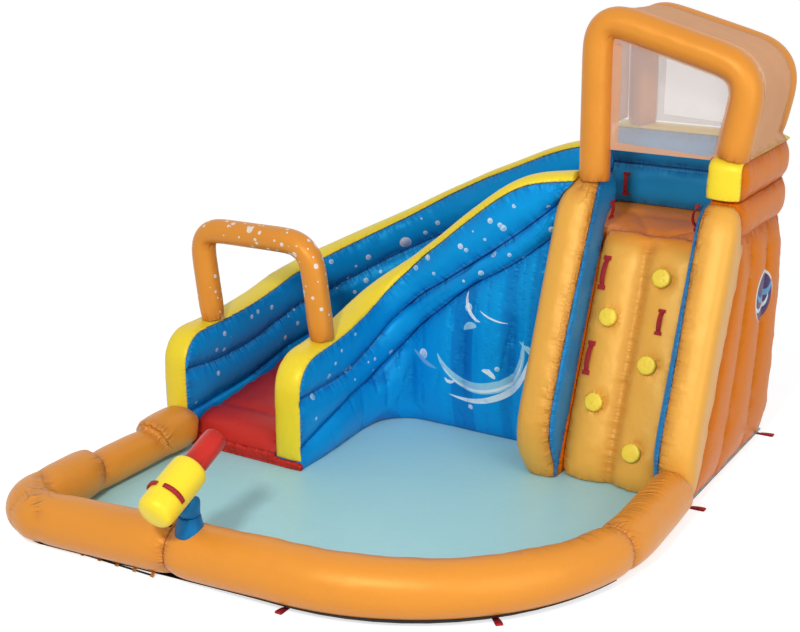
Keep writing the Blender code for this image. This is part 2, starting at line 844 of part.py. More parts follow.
def column_depth(z, top):
    """How far a column stands proud of the climbing wall: rounded at the foot and at the top."""
    share = min(1.0, z / column_foot_height)
    depth = lerp(column_foot_depth, column_proud, math.sin(math.pi / 2 * share))
    above = max(0.0, z - (top - column_head_rounding)) / column_head_rounding
    return depth - column_head_rounding * (1 - math.sqrt(max(0.0, 1 - above * above)))


def column_levels(top, reach):
    levels = [stand_z, 0.04, 0.08, 0.14, 0.22, 0.32, 0.42] + steps(0.65, 1.15, 2) + [platform_top + 2 * gap]
    if reach < 0:
        levels += [rail_foot - 2 * gap, rail_foot - gap]
    levels += [platform_top + 0.075, platform_top + 0.12, platform_top + 0.16]
    for share in (0.45, 0.75, 0.93, 1.0):
        level = top - column_head_rounding * (1 - share)
        if level > levels[-1] + 0.01:
            levels.append(level)
    return levels


def corner_points(edge, inward, depth, behind, first, last, inset, z, top, count=5):
    """Points round a front corner, from one angle to another: 0 faces sideways and 90 faces the front."""
    radius = min(column_corner, (depth - behind) * 0.8)
    above = max(0.0, z - (top - column_head_rounding)) / column_head_rounding
    edge += inward * 0.03 * above ** 3
    found = []
    for turn in steps(math.radians(first), math.radians(last), count):
        x = edge + inward * (radius - (radius - inset) * math.cos(turn))
        found.append((x, depth - radius + (radius - inset) * math.sin(turn)))
    return found


def seam_at(z, top, inner_side):
    """The angle of the seam between column and lining: it slips round to the side at the foot and near the top."""
    middle = lining_left_seam_angle if inner_side > 0 else lining_right_seam_angle
    last = lining_top_seam_angle if inner_side > 0 else (middle + lining_top_seam_angle) / 2
    low = lerp(lining_foot_seam_angle, middle, ease(z / column_foot_height)) if inner_side > 0 else middle
    return 90 - lerp(low, last, ease((z - 0.7) / (top - 0.7)))


def column(name, sides, top, inner_side, reach):
    """A rounded upright that leans with the climbing wall; its inner side is set back for the lining."""
    low, high = sides
    outer, inner = (low, high) if inner_side > 0 else (high, low)
    set_back = lining_thickness + gap
    rings = []
    for z in column_levels(top, reach):
        back_depth = slope_y(z) - column_back(z, reach)
        depth = max(column_depth(z, top), back_depth + 0.045)
        seam = seam_at(z, top, inner_side)
        span = (depth, max(back_depth, 0.0))
        front = corner_points(outer + inner_side * column_inset(z), inner_side, *span, 0, 90, 0.0, z, top)
        near = corner_points(inner, -inner_side, *span, 90, seam + 2.5, 0.0, z, top, 3)
        behind = corner_points(inner, -inner_side, *span, seam, 0, set_back, z, top, 4)
        crest = ((front[-1][0] + near[0][0]) / 2, depth + 0.008)
        outline = [(front[0][0], back_depth)] + front + [crest] + near + behind + [(behind[-1][0], back_depth)]
        rings.append([Vector((x, slope_y(z) - d, z)) for x, d in outline])
    return loft(name, rings, orange)


def lining(name, sides, top, inner_side, reach):
    """The blue strip on the inner side of a column, wrapped round its front corner."""
    inner = sides[1] if inner_side > 0 else sides[0]
    rings = []
    for z in column_levels(top, reach):
        back_depth = slope_y(z) - column_back(z, reach)
        depth = max(column_depth(z, top), back_depth + 0.045)
        seam = seam_at(z, top, inner_side)
        span = (depth, max(back_depth, 0.0))
        outside = corner_points(inner, -inner_side, *span, seam, 0, 0.0, z, top, 4)
        inside = corner_points(inner, -inner_side, *span, seam, 0, lining_thickness, z, top, 4)
        outline = outside + [(outside[-1][0], back_depth), (inside[-1][0], back_depth)] + inside[::-1]
        rings.append([Vector((x, slope_y(z) - d, z)) for x, d in outline])
    return loft(name, rings, blue)


def climbing_wall():
    """Two upright cells side by side, leaning back to the knee at the platform."""
    rings = []
    width = climb_right_x - climb_left_x
    top = platform_top - 0.012
    for z in [stand_z, 0.03, 0.08] + steps(0.22, 1.16, 5) + [1.25, 1.30, 1.34, top - 0.006, top]:
        rounding = max(0.0, 1 - (top - z) / 0.10)
        face = slope_y(z) + 0.06 * rounding ** 2 * 0.8
        foot = lerp(0.05, 0.0, ease(z / 0.14))
        back = min(slope_y(z) + climb_thickness, column_back_y)
        ring = []
        for k in range(13):
            t = k / 12
            swell = abs(math.sin(2 * math.pi * t)) ** 0.6
            y = face + foot - climb_bulge * swell * (1 - rounding ** 2)
            ring.append(Vector((climb_left_x + width * t, y, z)))
        ring += [Vector((climb_right_x, back, z)), Vector((climb_left_x, back, z))]
        rings.append(ring)
    return loft("climbing_wall", rings, orange)


def panel(name, start, end, outward, low, high, slanted=False, rounded=False):
    """A wall of upright cells from start to end in plan, bulging outward; a slanted one leans at its start."""
    length = (end - start).length
    cells = max(1, round(length / panel_cell_width))
    along = (end - start).normalized()
    count = cells * 4
    levels = [0.0, 0.03, 0.12, 0.5, 0.88, 0.97, 1.0]
    rings = []
    for i in range(count + 1):
        share = i / count
        swell = abs(math.sin(math.pi * cells * share)) ** 0.6
        outside, inside = [], []
        for t in levels:
            z = lerp(low, high, t)
            first = start + (along * (column_back(z) + gap - start.y) / along.y if slanted else Vector())
            spot = first.lerp(end, share) + UP * z
            round_off = min(1.0, math.sin(math.pi * t) * 2.5) if 0 < t < 1 else 0.0
            turned_in = 0.045 if rounded and i == count else 0.0
            outside.append(spot + outward * (panel_bulge * (swell * round_off + round_off - 1) - turned_in))
            inside.append(spot - outward * panel_thickness)
        rings.append(outside + inside[::-1])
    return loft(name, rings, deep_orange)


def tower_panels():
    """The three walls under the platform and the rails."""
    reach = panel_bulge
    right = tower_right_x - reach
    left = tower_left_x + reach
    back = tower_back_y - reach
    under = platform_top - platform_thickness - gap
    panel("tower_right_panel", Vector((right, slope_y(0), 0)), Vector((right, back, 0)), Vector((1, 0, 0)),
          stand_z, rail_foot - gap, True, True)
    panel("tower_left_panel", Vector((left, slope_y(0), 0)), Vector((left, back, 0)), Vector((-1, 0, 0)),
          stand_z, under, True)
    inner_left = left + panel_thickness + gap
    inner_right = right - panel_thickness - gap
    panel("tower_rear_panel", Vector((inner_left, back, 0)), Vector((inner_right, back, 0)), Vector((0, 1, 0)),
          stand_z, under)


def platform():
    """The floor at the top of the climb, from the tower's left side to its right wall."""
    left, right = tower_left_x, tower_right_x - panel_bulge - panel_thickness - gap
    front, back = platform_front_y, tower_back_y - panel_bulge
    low, high = platform_top - platform_thickness, platform_top
    rings = []
    for i in range(9):
        t = i / 8
        y = lerp(front, back, t)
        swell = 0.012 * abs(math.sin(2 * math.pi * t)) ** 0.6
        ring = [Vector((left, y, low)), Vector((right, y, low)), Vector((right, y, high - 0.02))]
        ring += [Vector((right - 0.03, y, high - 0.012 + swell)), Vector((left + 0.03, y, high - 0.012 + swell))]
        ring += [Vector((left, y, high - 0.02))]
        rings.append(ring)
    return loft("platform_floor", rings, orange)


def rail_tube(name, start, end, low, high, half, high_half, colour, round_end=True, corner=0.0):
    """A straight tube of a rail, from start to end in plan, with a rounded free end and a narrowed front end."""
    along = (end - start).normalized()
    across = Vector((-along.y, along.x, 0))
    length = (end - start).length
    spots = [(corner * (1 - math.sin(turn)), corner * (1 - math.cos(turn))) for turn in steps(math.pi / 2, 0, 4)]
    spots = spots if corner else [(0.0, 0.0)]
    spots += [(rail_front_taper, 0.0)] if round_end else []
    spots += [(length * share, 0.0) for share in (0.3, 0.5, 0.7)]
    spots += [(length * share, 0.0) for share in ((0.86, 0.94, 0.98, 1.0) if round_end else (1.0,))]
    rings = []
    for distance, drop in spots:
        share = distance / length
        edge = 1 - 0.45 * max(0.0, (share - 0.86) / 0.14) ** 2.5 if round_end else 1.0
        edge *= lerp(rail_front_share, 1.0, ease(distance / rail_front_taper)) if round_end else 1.0
        spot = start + along * distance
        levels = [k / 6 for k in range(7)]
        widths = [min(puffed(t, half * 0.72, half, high_half), half) * edge for t in levels]
        right = [spot + across * w + UP * lerp(low, high - drop, t) for t, w in zip(levels, widths)]
        left = [spot - across * w + UP * lerp(low, high - drop, t) for t, w in zip(levels, widths)]
        rings.append(right + left[::-1])
    return loft(name, rings, colour)


side_rail_half = (tower_right_x - right_column[0]) / 2
side_rail_x = (tower_right_x + right_column[0]) / 2
rear_rail_y = tower_back_y - rail_back_thickness / 2
rail_band_half = side_rail_half * rail_front_share
rear_band_half = rail_back_thickness / 2 * 0.72


def rails():
    """Stacked tubes along the right side and the back of the platform, each pair under a yellow band."""
    back = tower_back_y - 0.035
    rail_tube("side_rail_lower", Vector((side_rail_x, lower_rail_front_y, 0)), Vector((side_rail_x, back - 0.035, 0)),
              rail_foot, rail_crease_z, side_rail_half, rail_band_half, deep_orange)
    rail_tube("side_rail_upper", Vector((side_rail_x, rail_front_y, 0)), Vector((side_rail_x, back - 0.015, 0)),
              rail_crease_z + gap, rail_top, side_rail_half, rail_band_half, deep_orange, corner=rail_corner)
    end_x = right_column[0] - gap
    for name, low, high in (
        ("rear_rail_lower", platform_top + gap, rail_crease_z),
        ("rear_rail_upper", rail_crease_z + gap, rail_top),
    ):
        rail_tube(name, Vector((tower_left_x, rear_rail_y, 0)), Vector((end_x, rear_rail_y, 0)), low, high,
                  rail_back_thickness / 2, rear_band_half, blue, round_end=False)


def side_band():
    """Over the side rail's top, round its front corner and down its front face."""
    back = tower_back_y - 0.075
    front = rail_front_y
    points = [Vector((side_rail_x, y, rail_top)) for y in steps(back, front + rail_corner, 6)]
    normals = [UP.copy() for point in points]
    for turn in steps(0, math.pi / 2, 4)[1:]:
        points.append(Vector((side_rail_x, front + rail_corner * (1 - math.sin(turn)),
                              rail_top - rail_corner * (1 - math.cos(turn)))))
        normals.append(Vector((0, -math.sin(turn), math.cos(turn))))
    for z in steps(rail_top - rail_corner, rail_crease_z + 0.012, 4)[1:]:
        points.append(Vector((side_rail_x, front, z)))
        normals.append(Vector((0, -1, 0)))
    return band("side_rail_band", points, normals, yellow, rail_band_half, band_crown)


def rear_band():
    points = [Vector((x, rear_rail_y, rail_top)) for x in steps(tower_left_x + 0.01, right_column[0] - 0.01, 6)]
    return band("rear_rail_band", points, [UP.copy() for point in points], yellow, rear_band_half, band_crown)


# Arches and nets


def arch_route(y, left_x, right_x, left_top, right_top, left_foot, right_foot, flare):
    corners = [
        Vector((left_x, y, left_foot)),
        Vector((left_x - flare * 0.2, y, left_top)),
        Vector((right_x + flare, y, right_top)),
        Vector((right_x, y, right_foot)),
    ]
    return rounded_route(corners, arch_corner, 6, 4)


def arches(front_seats, rear_seats):
    front = arch_route(front_arch_y, front_arch_left_x, front_arch_right_x, front_arch_left_top, front_arch_right_top,
                       left_column_top - 0.03, rail_top + 0.012, front_arch_flare)
    rear = arch_route(rear_arch_y, rear_arch_left_x, rear_arch_right_x, rear_arch_left_top, rear_arch_right_top,
                      rail_top + 0.012, rail_top + 0.012, rear_arch_flare)
    for name, route, seats in (("front_arch", front, front_seats), ("rear_arch", rear, rear_seats)):
        arch = as_mesh(tube(name, route, arch_radius, orange, resolution=(arch_sides - 4) // 2))
        cut_round(arch, seats, gap * 3)
    return front, rear


def inside_line(route, reach):
    """The route moved towards the middle of the arch, in its own upright plane."""
    found = []
    last = len(route) - 1
    for i, point in enumerate(route):
        along = (route[min(i + 1, last)] - route[max(i - 1, 0)]).normalized()
        moved = point + Vector((along.z, 0, -along.x)) * reach
        if not found or (moved - found[-1]).dot(along) > 0:
            found.append(moved)
    return found


def standing_net(name, route, hem, y):
    """An upright net that fills an arch from its hem up."""
    line = inside_line(route, arch_radius * math.cos(math.pi / arch_sides) + net_clearance)
    kept = [i for i, p in enumerate(line) if p.z > hem + 0.02]
    ends = []
    for i, other in ((kept[0], kept[0] + 1), (kept[-1], kept[-1] - 1)):
        ends.append(line[i].lerp(line[other], (line[i].z - hem) / (line[i].z - line[other].z)))
    outline = [ends[0]] + [line[i] for i in kept] + [ends[1]]
    rings = []
    for side in (-net_thickness / 2, net_thickness / 2):
        rings.append([Vector((p.x, y + side, p.z)) for p in outline])
    return loft(name, rings, peach, alpha=0.45)


def canopy_net(front, rear):
    """The net over the top and down both sides, between the two arches."""
    rings = []
    seat = math.radians(net_seat_angle)
    count = len(front)
    hem_left = [i for i in range(count) if front[i].z > side_net_hem_z and rear[i].z > side_net_hem_z]
    for i in range(hem_left[0] - 1, hem_left[-1] + 2):
        first, second = front[i].copy(), rear[i].copy()
        if i == hem_left[0] - 1:
            first.z = second.z = side_net_hem_z
        if i == hem_left[-1] + 1:
            first.z = second.z = rail_top + 0.012
            first.x = second.x = side_rail_x + rail_band_half + 0.006
        near = min(max(i, 1), count - 2)
        along = (front[near + 1] - front[near - 1]).normalized()
        out = Vector((-along.z, 0, along.x)) * net_thickness / 2
        edge = arch_radius + gap * 1.5 + net_thickness / 2 * math.sin(seat)
        inward = Vector((0, edge * math.cos(seat), 0))
        lift = out.normalized() * edge * math.sin(seat) if i <= hem_left[-1] else Vector()
        start = first + inward + lift
        end = second - inward + lift
        sag = [start.lerp(end, t) - out * 4 * math.sin(math.pi * t) for t in (0.0, 0.25, 0.5, 0.75, 1.0)]
        rings.append([p + out for p in sag] + [p - out for p in sag[::-1]])
    return loft("canopy_net", rings, peach, alpha=0.45)


# Holds, handles and tie-downs

slope_normal = Vector((0, -1, climb_slope)).normalized()
slope_up = Vector((0, climb_slope, 1)).normalized()


def turned(name, profile, colour, sides=14, **looks):
    """A solid turned about its own Z axis from (radius, height) pairs."""
    rings = []
    for radius, height in profile:
        ring = []
        for k in range(sides):
            turn = 2 * math.pi * k / sides
            ring.append(Vector((radius * math.cos(turn), radius * math.sin(turn), height)))
        rings.append(ring)
    return loft(name, rings, colour, **looks)


def holds(wall):
    for number, (x, z) in enumerate(hold_spots, 1):
        hold = turned(f"climbing_hold_{number}", [
            (hold_radius, -climb_bulge - 0.01), (hold_radius, hold_height * 0.55),
            (hold_radius * 0.93, hold_height * 0.85), (hold_radius * 0.72, hold_height), (0.004, hold_height),
        ], yellow)
        hold.location = Vector((x, slope_y(z), z)) + slope_normal * climb_bulge
        hold.rotation_euler = slope_normal.to_track_quat("Z", "Y").to_euler()
        cut_round(hold, [wall])


def webbing(name, length, width, height, below, colour=red):
    """A webbing handle that lies along its own Y axis and rises a little in the middle."""
    rings = []
    for t in (0.0, 0.12, 0.16, 0.3, 0.5, 0.7, 0.84, 0.88, 1.0):
        rise = height * (0.30 if t < 0.14 or t > 0.86 else 0.55 + 0.45 * math.sin(math.pi * (t - 0.14) / 0.72))
        y = (t - 0.5) * length
        rings.append([Vector((-width / 2, y, -below)), Vector((width / 2, y, -below)),
                      Vector((width / 2, y, rise)), Vector((-width / 2, y, rise))])
    return loft(name, rings, colour, roughness=0.7)


def climb_handles(wall):
    for number, (x, z) in enumerate(climb_handle_spots, 1):
        handle = webbing(f"climb_handle_{number}", handle_length, handle_width, handle_height, climb_bulge + 0.01)
        handle.location = Vector((x, slope_y(z), z)) + slope_normal * climb_bulge * 0.75
        handle.rotation_euler = slope_normal.to_track_quat("Z", "Y").to_euler()
        cut_round(handle, [wall])


def platform_handles():
    """One upright webbing handle on the inner side of each column, beside the way onto the platform."""
    for name, x, y, z, length, side, lined in (
        ("platform_handle_left", left_column[1], platform_handle_left_y, platform_handle_left_z,
         platform_handle_left_length, 90, "column_lining_left"),
        ("platform_handle_right", right_column[0], platform_handle_right_y, platform_handle_right_z,
         handle_upright_length, -90, "column_lining_right"),
    ):
        handle = webbing(name, length, handle_width, handle_height, 0.008)
        handle.location = (x, y, z)
        handle.rotation_euler = (math.radians(90), 0, math.radians(side))
        cut_round(handle, [bpy.data.objects[lined]])


def rail_handle(rail):
    """One upright webbing handle on the back rail, beside the top of the slide."""
    handle = webbing("rail_handle", handle_upright_length, handle_width, handle_height, 0.05)
    face = rear_rail_y - rail_back_thickness / 2
    handle.location = (rail_handle_x, face - 0.002, (platform_top + rail_crease_z) / 2)
    handle.rotation_euler = (math.radians(90), 0, 0)
    cut_round(handle, [rail])


tie_spots = (
    ("tie_down_front_left", "bend", -86.0),
    ("tie_down_front_right", "bend", -43.0),
    ("tie_down_right", "right", 0.36),
    ("tie_down_back_right", "back", 1.60),
)


def tie_downs(sheet):
    """Flat webbing loops that lie on the ground, out from under the edge of the base."""
    reach = sheet_reach - 0.006
    for name, side, value in tie_spots:
        if side == "bend":
            turn = math.radians(value)
            out = Vector((math.cos(turn), math.sin(turn), 0))
            spot = pool_bend_centre + out * (pool_bend_radius + reach)
            length = tie_length
        else:
            out = Vector((1, 0, 0))
            spot = Vector((tower_right_x - sheet_side_inset - 0.006, value, 0))
            length = tie_length + sheet_side_inset - sheet_reach
        across = Vector((-out.y, out.x, 0))
        outline = [(0.0, 1.0), (0.55, 1.0), (0.85, 0.75), (1.0, 0.35), (1.0, -0.35), (0.85, -0.75), (0.55, -1.0), (0.0, -1.0)]
        rings = []
        for z in (0.0, sheet_thickness):
            rings.append([spot + out * length * a + across * tie_width / 2 * b + UP * z for a, b in outline])
        cut_round(loft(name, rings, red, roughness=0.7), [sheet])


# Water cannon


pedestal_y = pool_front_y(pedestal_x) - 0.025
pitch_point = Vector((pedestal_x, pedestal_y, cannon_pitch_z))
tilt = math.radians(cannon_tilt)
cannon_along = Vector((0, math.cos(tilt), math.sin(tilt)))
cannon_up = Vector((0, -math.sin(tilt), math.cos(tilt)))


def hinge_empty(name, spot, parent=None):
    empty = bpy.data.objects.new(name, None)
    park.objects.link(empty)
    empty.parent = parent
    empty.location = spot - parent.location if parent else spot
    return empty


def pedestal(wall_tube_piece):
    """The blue cone that stands on the pool wall and carries the cannon."""
    top = cannon_pitch_z - knuckle_radius - swivel_height
    low = base_z + pool_front_radii[0] * 1.2
    cone = turned("cannon_pedestal", [(pedestal_base_radius, low), (pedestal_base_radius * 0.97, low + 0.04),
                  (pedestal_top_radius, top - 0.004), (pedestal_top_radius - 0.006, top - gap)], cone_blue, 18)
    cone.location = (pedestal_x, pedestal_y, 0)
    return cut_round(cone, [wall_tube_piece])


def swivel(yaw):
    """A turning collar with a round knuckle across it, on which the cannon rocks."""
    foot = -knuckle_radius - swivel_height
    collar = turned("cannon_swivel", [(pedestal_top_radius - 0.008, foot), (pedestal_top_radius - 0.004, foot + 0.004),
                    (pedestal_top_radius - 0.004, -0.020), (pedestal_top_radius - 0.014, -0.010)], cone_blue, 18)
    collar.parent = yaw
    knuckle = turned("cannon_knuckle", [(knuckle_radius * 0.9, -knuckle_length / 2), (knuckle_radius, -knuckle_length / 2 + 0.004),
                     (knuckle_radius, knuckle_length / 2 - 0.004), (knuckle_radius * 0.9, knuckle_length / 2)], cone_blue, 24)
    knuckle.rotation_euler = (0, math.radians(90), 0)
    knuckle.parent = yaw
    park.objects.unlink(knuckle)
    cutters.objects.link(knuckle)
    knuckle.hide_render = True
    knuckle.display_type = "WIRE"
    joined = collar.modifiers.new("knuckle", "BOOLEAN")
    joined.operation = "UNION"
    joined.object = knuckle
    return collar


def cannon(pitch):
    """The yellow body, its red barrel, two webbing straps and the hose stub, all on the pitch axis."""
    lift = knuckle_radius + gap + cannon_radius
    turn = (math.radians(-90) + tilt, 0, 0)
    rear = -cannon_behind_pivot
    front = rear + cannon_length
    profile = [(0.006, rear)]
    for k in range(1, 5):
        angle = math.pi / 2 * k / 5
        profile.append((cannon_radius - grip_rounding + grip_rounding * math.sin(angle) if k > 1 else cannon_radius * 0.42,
                        rear + grip_rounding * (1 - math.cos(angle)) * 0.8))
    profile += [(cannon_radius, rear + grip_rounding * 0.9), (cannon_radius, front - 0.03),
                (cannon_radius * 0.93, front - 0.008), (cannon_radius * 0.80, front)]
    centre = cannon_up * lift
    body = turned("cannon_body", profile, yellow, 20)
    body.parent = pitch
    body.location = centre
    body.rotation_euler = turn
    barrel = turned("cannon_barrel", [(barrel_radius, front + gap), (barrel_radius, front + barrel_length - 0.012),
                    (barrel_radius * 0.92, front + barrel_length)], red, 20)
    barrel.parent = pitch
    barrel.location = centre
    barrel.rotation_euler = turn
    for name, middle in (("cannon_strap_right", 40.0), ("cannon_strap_left", 140.0)):
        rings = []
        for t in steps(0, 1, 8):
            angle = math.radians(middle + strap_span * (t - 0.5))
            rise = 0.004 + strap_height * (0.35 + 0.65 * math.sin(math.pi * t))
            near = cannon_radius - 0.004
            direction = Vector((math.cos(angle), -math.sin(angle), 0))
            rings.append([direction * near + UP * strap_place, direction * (near + rise) + UP * strap_place,
                          direction * (near + rise) + UP * (strap_place + strap_width),
                          direction * near + UP * (strap_place + strap_width)])
        strap = loft(name, rings, red, roughness=0.7)
        strap.parent = pitch
        strap.location = centre
        strap.rotation_euler = turn
        cut_round(strap, [body])
    stub = turned("cannon_hose_stub", [(hose_stub_radius, 0.0), (hose_stub_radius, hose_stub_length * 0.5),
                  (hose_stub_radius * 0.75, hose_stub_length * 0.55), (hose_stub_radius * 0.75, hose_stub_length)], dark, 12)
    stub.parent = pitch
    stub.location = centre - cannon_along * (cannon_behind_pivot - 0.085) - cannon_up * (cannon_radius - 0.004)
    stub.rotation_euler = (math.radians(180) + tilt, 0, 0)
    cut_round(stub, [body])


# Air inlet


def inlet_sleeve(rear_panel):
    """The short sleeve low on the back that takes the blower's pipe, with an open bore."""
    back = tower_back_y - panel_bulge * 1.5
    sleeve = turned("air_inlet_sleeve", [(sleeve_radius, 0.0), (sleeve_radius, sleeve_length + panel_bulge),
                    (sleeve_radius - 0.008, sleeve_length + panel_bulge + 0.004),
                    (sleeve_radius - 0.012, sleeve_length + panel_bulge), (sleeve_radius - 0.012, 0.045)], deep_orange, 18)
    sleeve.location = (sleeve_x, back, sleeve_z)
    sleeve.rotation_euler = (math.radians(-90), 0, 0)
    return cut_round(sleeve, [rear_panel])


def build():
    """All the pieces, from the ground up."""
    part = bpy.data.objects
    ground_sheet()
    pool_floor()
    pool_walls()
    slide_walls()
    slide_bed()
    exit_sill()
    sprinkler_arch([part["slide_outer_band"], part["slide_inner_band"]])
    column("column_left", left_column, left_column_top, 1, column_back_reach)
    column("column_right", right_column, right_column_top, -1, -1.0)
    lining("column_lining_left", left_column, left_column_top, 1, column_back_reach)
    lining("column_lining_right", right_column, right_column_top, -1, -1.0)
    for name in ("slide_inner_wall_upper", "slide_inner_wall_lower", "slide_inner_band"):
        cut_round(part[name], [part["column_left"]])
    wall = climbing_wall()
    tower_panels()
    platform()
    rails()
    side_band()
    rear_band()
    front_seats = [part["column_left"], part["column_lining_left"], part["side_rail_band"]]
    rear_seats = [part[name] for name in ("rear_rail_band", "side_rail_band", "rear_rail_upper", "side_rail_upper")]
    front, rear = arches(front_seats, rear_seats)
    front_net = standing_net("front_net", front, front_net_hem_z, front_arch_y)
    cut_round(front_net, [part["side_rail_band"], part["side_rail_upper"]])
    standing_net("rear_net", rear, rail_top + band_crown + 0.01, rear_arch_y)
    canopy_net(front, rear)
    holds(wall)
    climb_handles(wall)
    platform_handles()
    rail_handle(part["rear_rail_lower"])
    tie_downs(part["ground_sheet"])
    for name, neighbours in (
        ("pool_wall_right", ["column_right"]),
        ("pool_wall_left", ["slide_outer_band", "slide_outer_wall_lower", "slide_exit_sill"]),
    ):
        as_mesh(part[name])
        cut_round(part[name], [part[neighbour] for neighbour in neighbours])
    pedestal(part["pool_wall_front"])
    yaw = hinge_empty("cannon_yaw_axis", pitch_point)
    swivel(yaw)
    pitch = hinge_empty("cannon_pitch_axis", pitch_point, yaw)
    pitch.location = (0, 0, 0)
    cannon(pitch)
    inlet_sleeve(part["tower_rear_panel"])


build()
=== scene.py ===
import json
import math

import bmesh
import bpy
import numpy as np
from mathutils import Vector, bvhtree, kdtree, noise
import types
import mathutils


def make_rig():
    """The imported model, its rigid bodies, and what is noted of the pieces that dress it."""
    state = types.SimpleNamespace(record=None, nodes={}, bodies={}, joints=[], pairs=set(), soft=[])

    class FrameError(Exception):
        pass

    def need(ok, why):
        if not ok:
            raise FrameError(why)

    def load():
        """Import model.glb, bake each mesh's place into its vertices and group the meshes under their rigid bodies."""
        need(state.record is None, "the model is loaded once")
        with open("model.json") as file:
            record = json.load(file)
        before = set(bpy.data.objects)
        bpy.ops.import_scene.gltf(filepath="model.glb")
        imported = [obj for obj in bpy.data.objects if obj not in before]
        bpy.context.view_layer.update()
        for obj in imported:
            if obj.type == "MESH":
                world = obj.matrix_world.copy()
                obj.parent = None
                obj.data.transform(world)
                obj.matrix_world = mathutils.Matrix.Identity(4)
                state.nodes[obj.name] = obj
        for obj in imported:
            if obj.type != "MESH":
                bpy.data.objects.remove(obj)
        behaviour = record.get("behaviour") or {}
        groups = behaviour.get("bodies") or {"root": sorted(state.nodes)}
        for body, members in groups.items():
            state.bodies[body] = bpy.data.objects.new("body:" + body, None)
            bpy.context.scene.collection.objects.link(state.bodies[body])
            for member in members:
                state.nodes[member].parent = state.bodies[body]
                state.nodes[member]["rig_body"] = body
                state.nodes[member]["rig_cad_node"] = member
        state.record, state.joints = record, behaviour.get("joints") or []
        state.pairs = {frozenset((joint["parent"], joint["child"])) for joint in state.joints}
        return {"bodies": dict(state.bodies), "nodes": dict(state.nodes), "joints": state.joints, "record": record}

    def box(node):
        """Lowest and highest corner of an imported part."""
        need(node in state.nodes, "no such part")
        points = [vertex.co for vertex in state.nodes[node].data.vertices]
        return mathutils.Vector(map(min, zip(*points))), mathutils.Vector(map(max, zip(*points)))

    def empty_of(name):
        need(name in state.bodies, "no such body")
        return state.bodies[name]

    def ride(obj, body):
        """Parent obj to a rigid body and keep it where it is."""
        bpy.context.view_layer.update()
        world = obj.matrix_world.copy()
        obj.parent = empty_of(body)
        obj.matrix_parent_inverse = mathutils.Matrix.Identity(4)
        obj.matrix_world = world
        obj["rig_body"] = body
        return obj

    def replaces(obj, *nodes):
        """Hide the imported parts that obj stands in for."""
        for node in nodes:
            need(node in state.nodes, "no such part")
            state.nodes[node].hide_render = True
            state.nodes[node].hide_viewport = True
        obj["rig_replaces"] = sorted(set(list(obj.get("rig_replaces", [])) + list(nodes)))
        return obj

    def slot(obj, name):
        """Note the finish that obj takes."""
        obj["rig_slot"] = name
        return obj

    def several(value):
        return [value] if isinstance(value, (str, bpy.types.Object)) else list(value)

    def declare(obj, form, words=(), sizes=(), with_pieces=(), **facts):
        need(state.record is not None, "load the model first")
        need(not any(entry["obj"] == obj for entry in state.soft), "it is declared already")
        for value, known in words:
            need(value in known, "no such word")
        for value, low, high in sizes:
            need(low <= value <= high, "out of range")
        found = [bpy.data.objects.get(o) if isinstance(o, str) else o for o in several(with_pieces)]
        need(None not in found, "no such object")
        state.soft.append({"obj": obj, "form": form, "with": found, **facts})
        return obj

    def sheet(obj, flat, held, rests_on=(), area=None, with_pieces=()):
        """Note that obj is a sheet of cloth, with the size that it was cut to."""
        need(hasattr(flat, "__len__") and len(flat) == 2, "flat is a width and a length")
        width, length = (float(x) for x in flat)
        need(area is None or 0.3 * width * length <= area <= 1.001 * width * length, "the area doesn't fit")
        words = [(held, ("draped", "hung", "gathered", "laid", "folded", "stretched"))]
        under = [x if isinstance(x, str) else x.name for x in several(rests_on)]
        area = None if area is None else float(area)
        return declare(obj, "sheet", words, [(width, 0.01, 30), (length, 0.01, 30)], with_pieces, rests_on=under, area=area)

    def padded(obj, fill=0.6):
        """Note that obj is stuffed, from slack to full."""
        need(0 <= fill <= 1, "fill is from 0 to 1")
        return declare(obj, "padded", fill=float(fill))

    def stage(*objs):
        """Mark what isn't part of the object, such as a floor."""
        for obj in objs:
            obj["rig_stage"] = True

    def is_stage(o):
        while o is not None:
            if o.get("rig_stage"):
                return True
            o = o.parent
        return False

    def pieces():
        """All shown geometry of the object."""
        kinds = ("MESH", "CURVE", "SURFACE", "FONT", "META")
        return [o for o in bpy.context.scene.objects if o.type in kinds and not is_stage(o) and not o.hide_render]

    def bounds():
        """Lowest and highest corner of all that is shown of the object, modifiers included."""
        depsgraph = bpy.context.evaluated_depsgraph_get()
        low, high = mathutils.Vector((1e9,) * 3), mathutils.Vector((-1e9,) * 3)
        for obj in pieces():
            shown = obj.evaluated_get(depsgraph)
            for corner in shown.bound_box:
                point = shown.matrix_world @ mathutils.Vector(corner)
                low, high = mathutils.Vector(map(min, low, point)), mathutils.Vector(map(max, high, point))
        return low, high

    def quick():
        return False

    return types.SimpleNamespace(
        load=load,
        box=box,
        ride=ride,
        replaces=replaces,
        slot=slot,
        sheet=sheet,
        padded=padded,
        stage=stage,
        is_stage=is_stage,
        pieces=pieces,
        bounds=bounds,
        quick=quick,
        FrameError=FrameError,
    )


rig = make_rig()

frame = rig.load()
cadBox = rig.bounds()
nodes = frame["nodes"]
bodies = frame["record"]["behaviour"]["bodies"]
bodyOf = {node: body for body, members in bodies.items() for node in members}
slotOf = {entry["node"]: entry["material_slot"] for entry in frame["record"]["subparts"]}
right, back, up = Vector((1, 0, 0)), Vector((0, 1, 0)), Vector((0, 0, 1))
print("frame loaded:", len(nodes), "nodes")


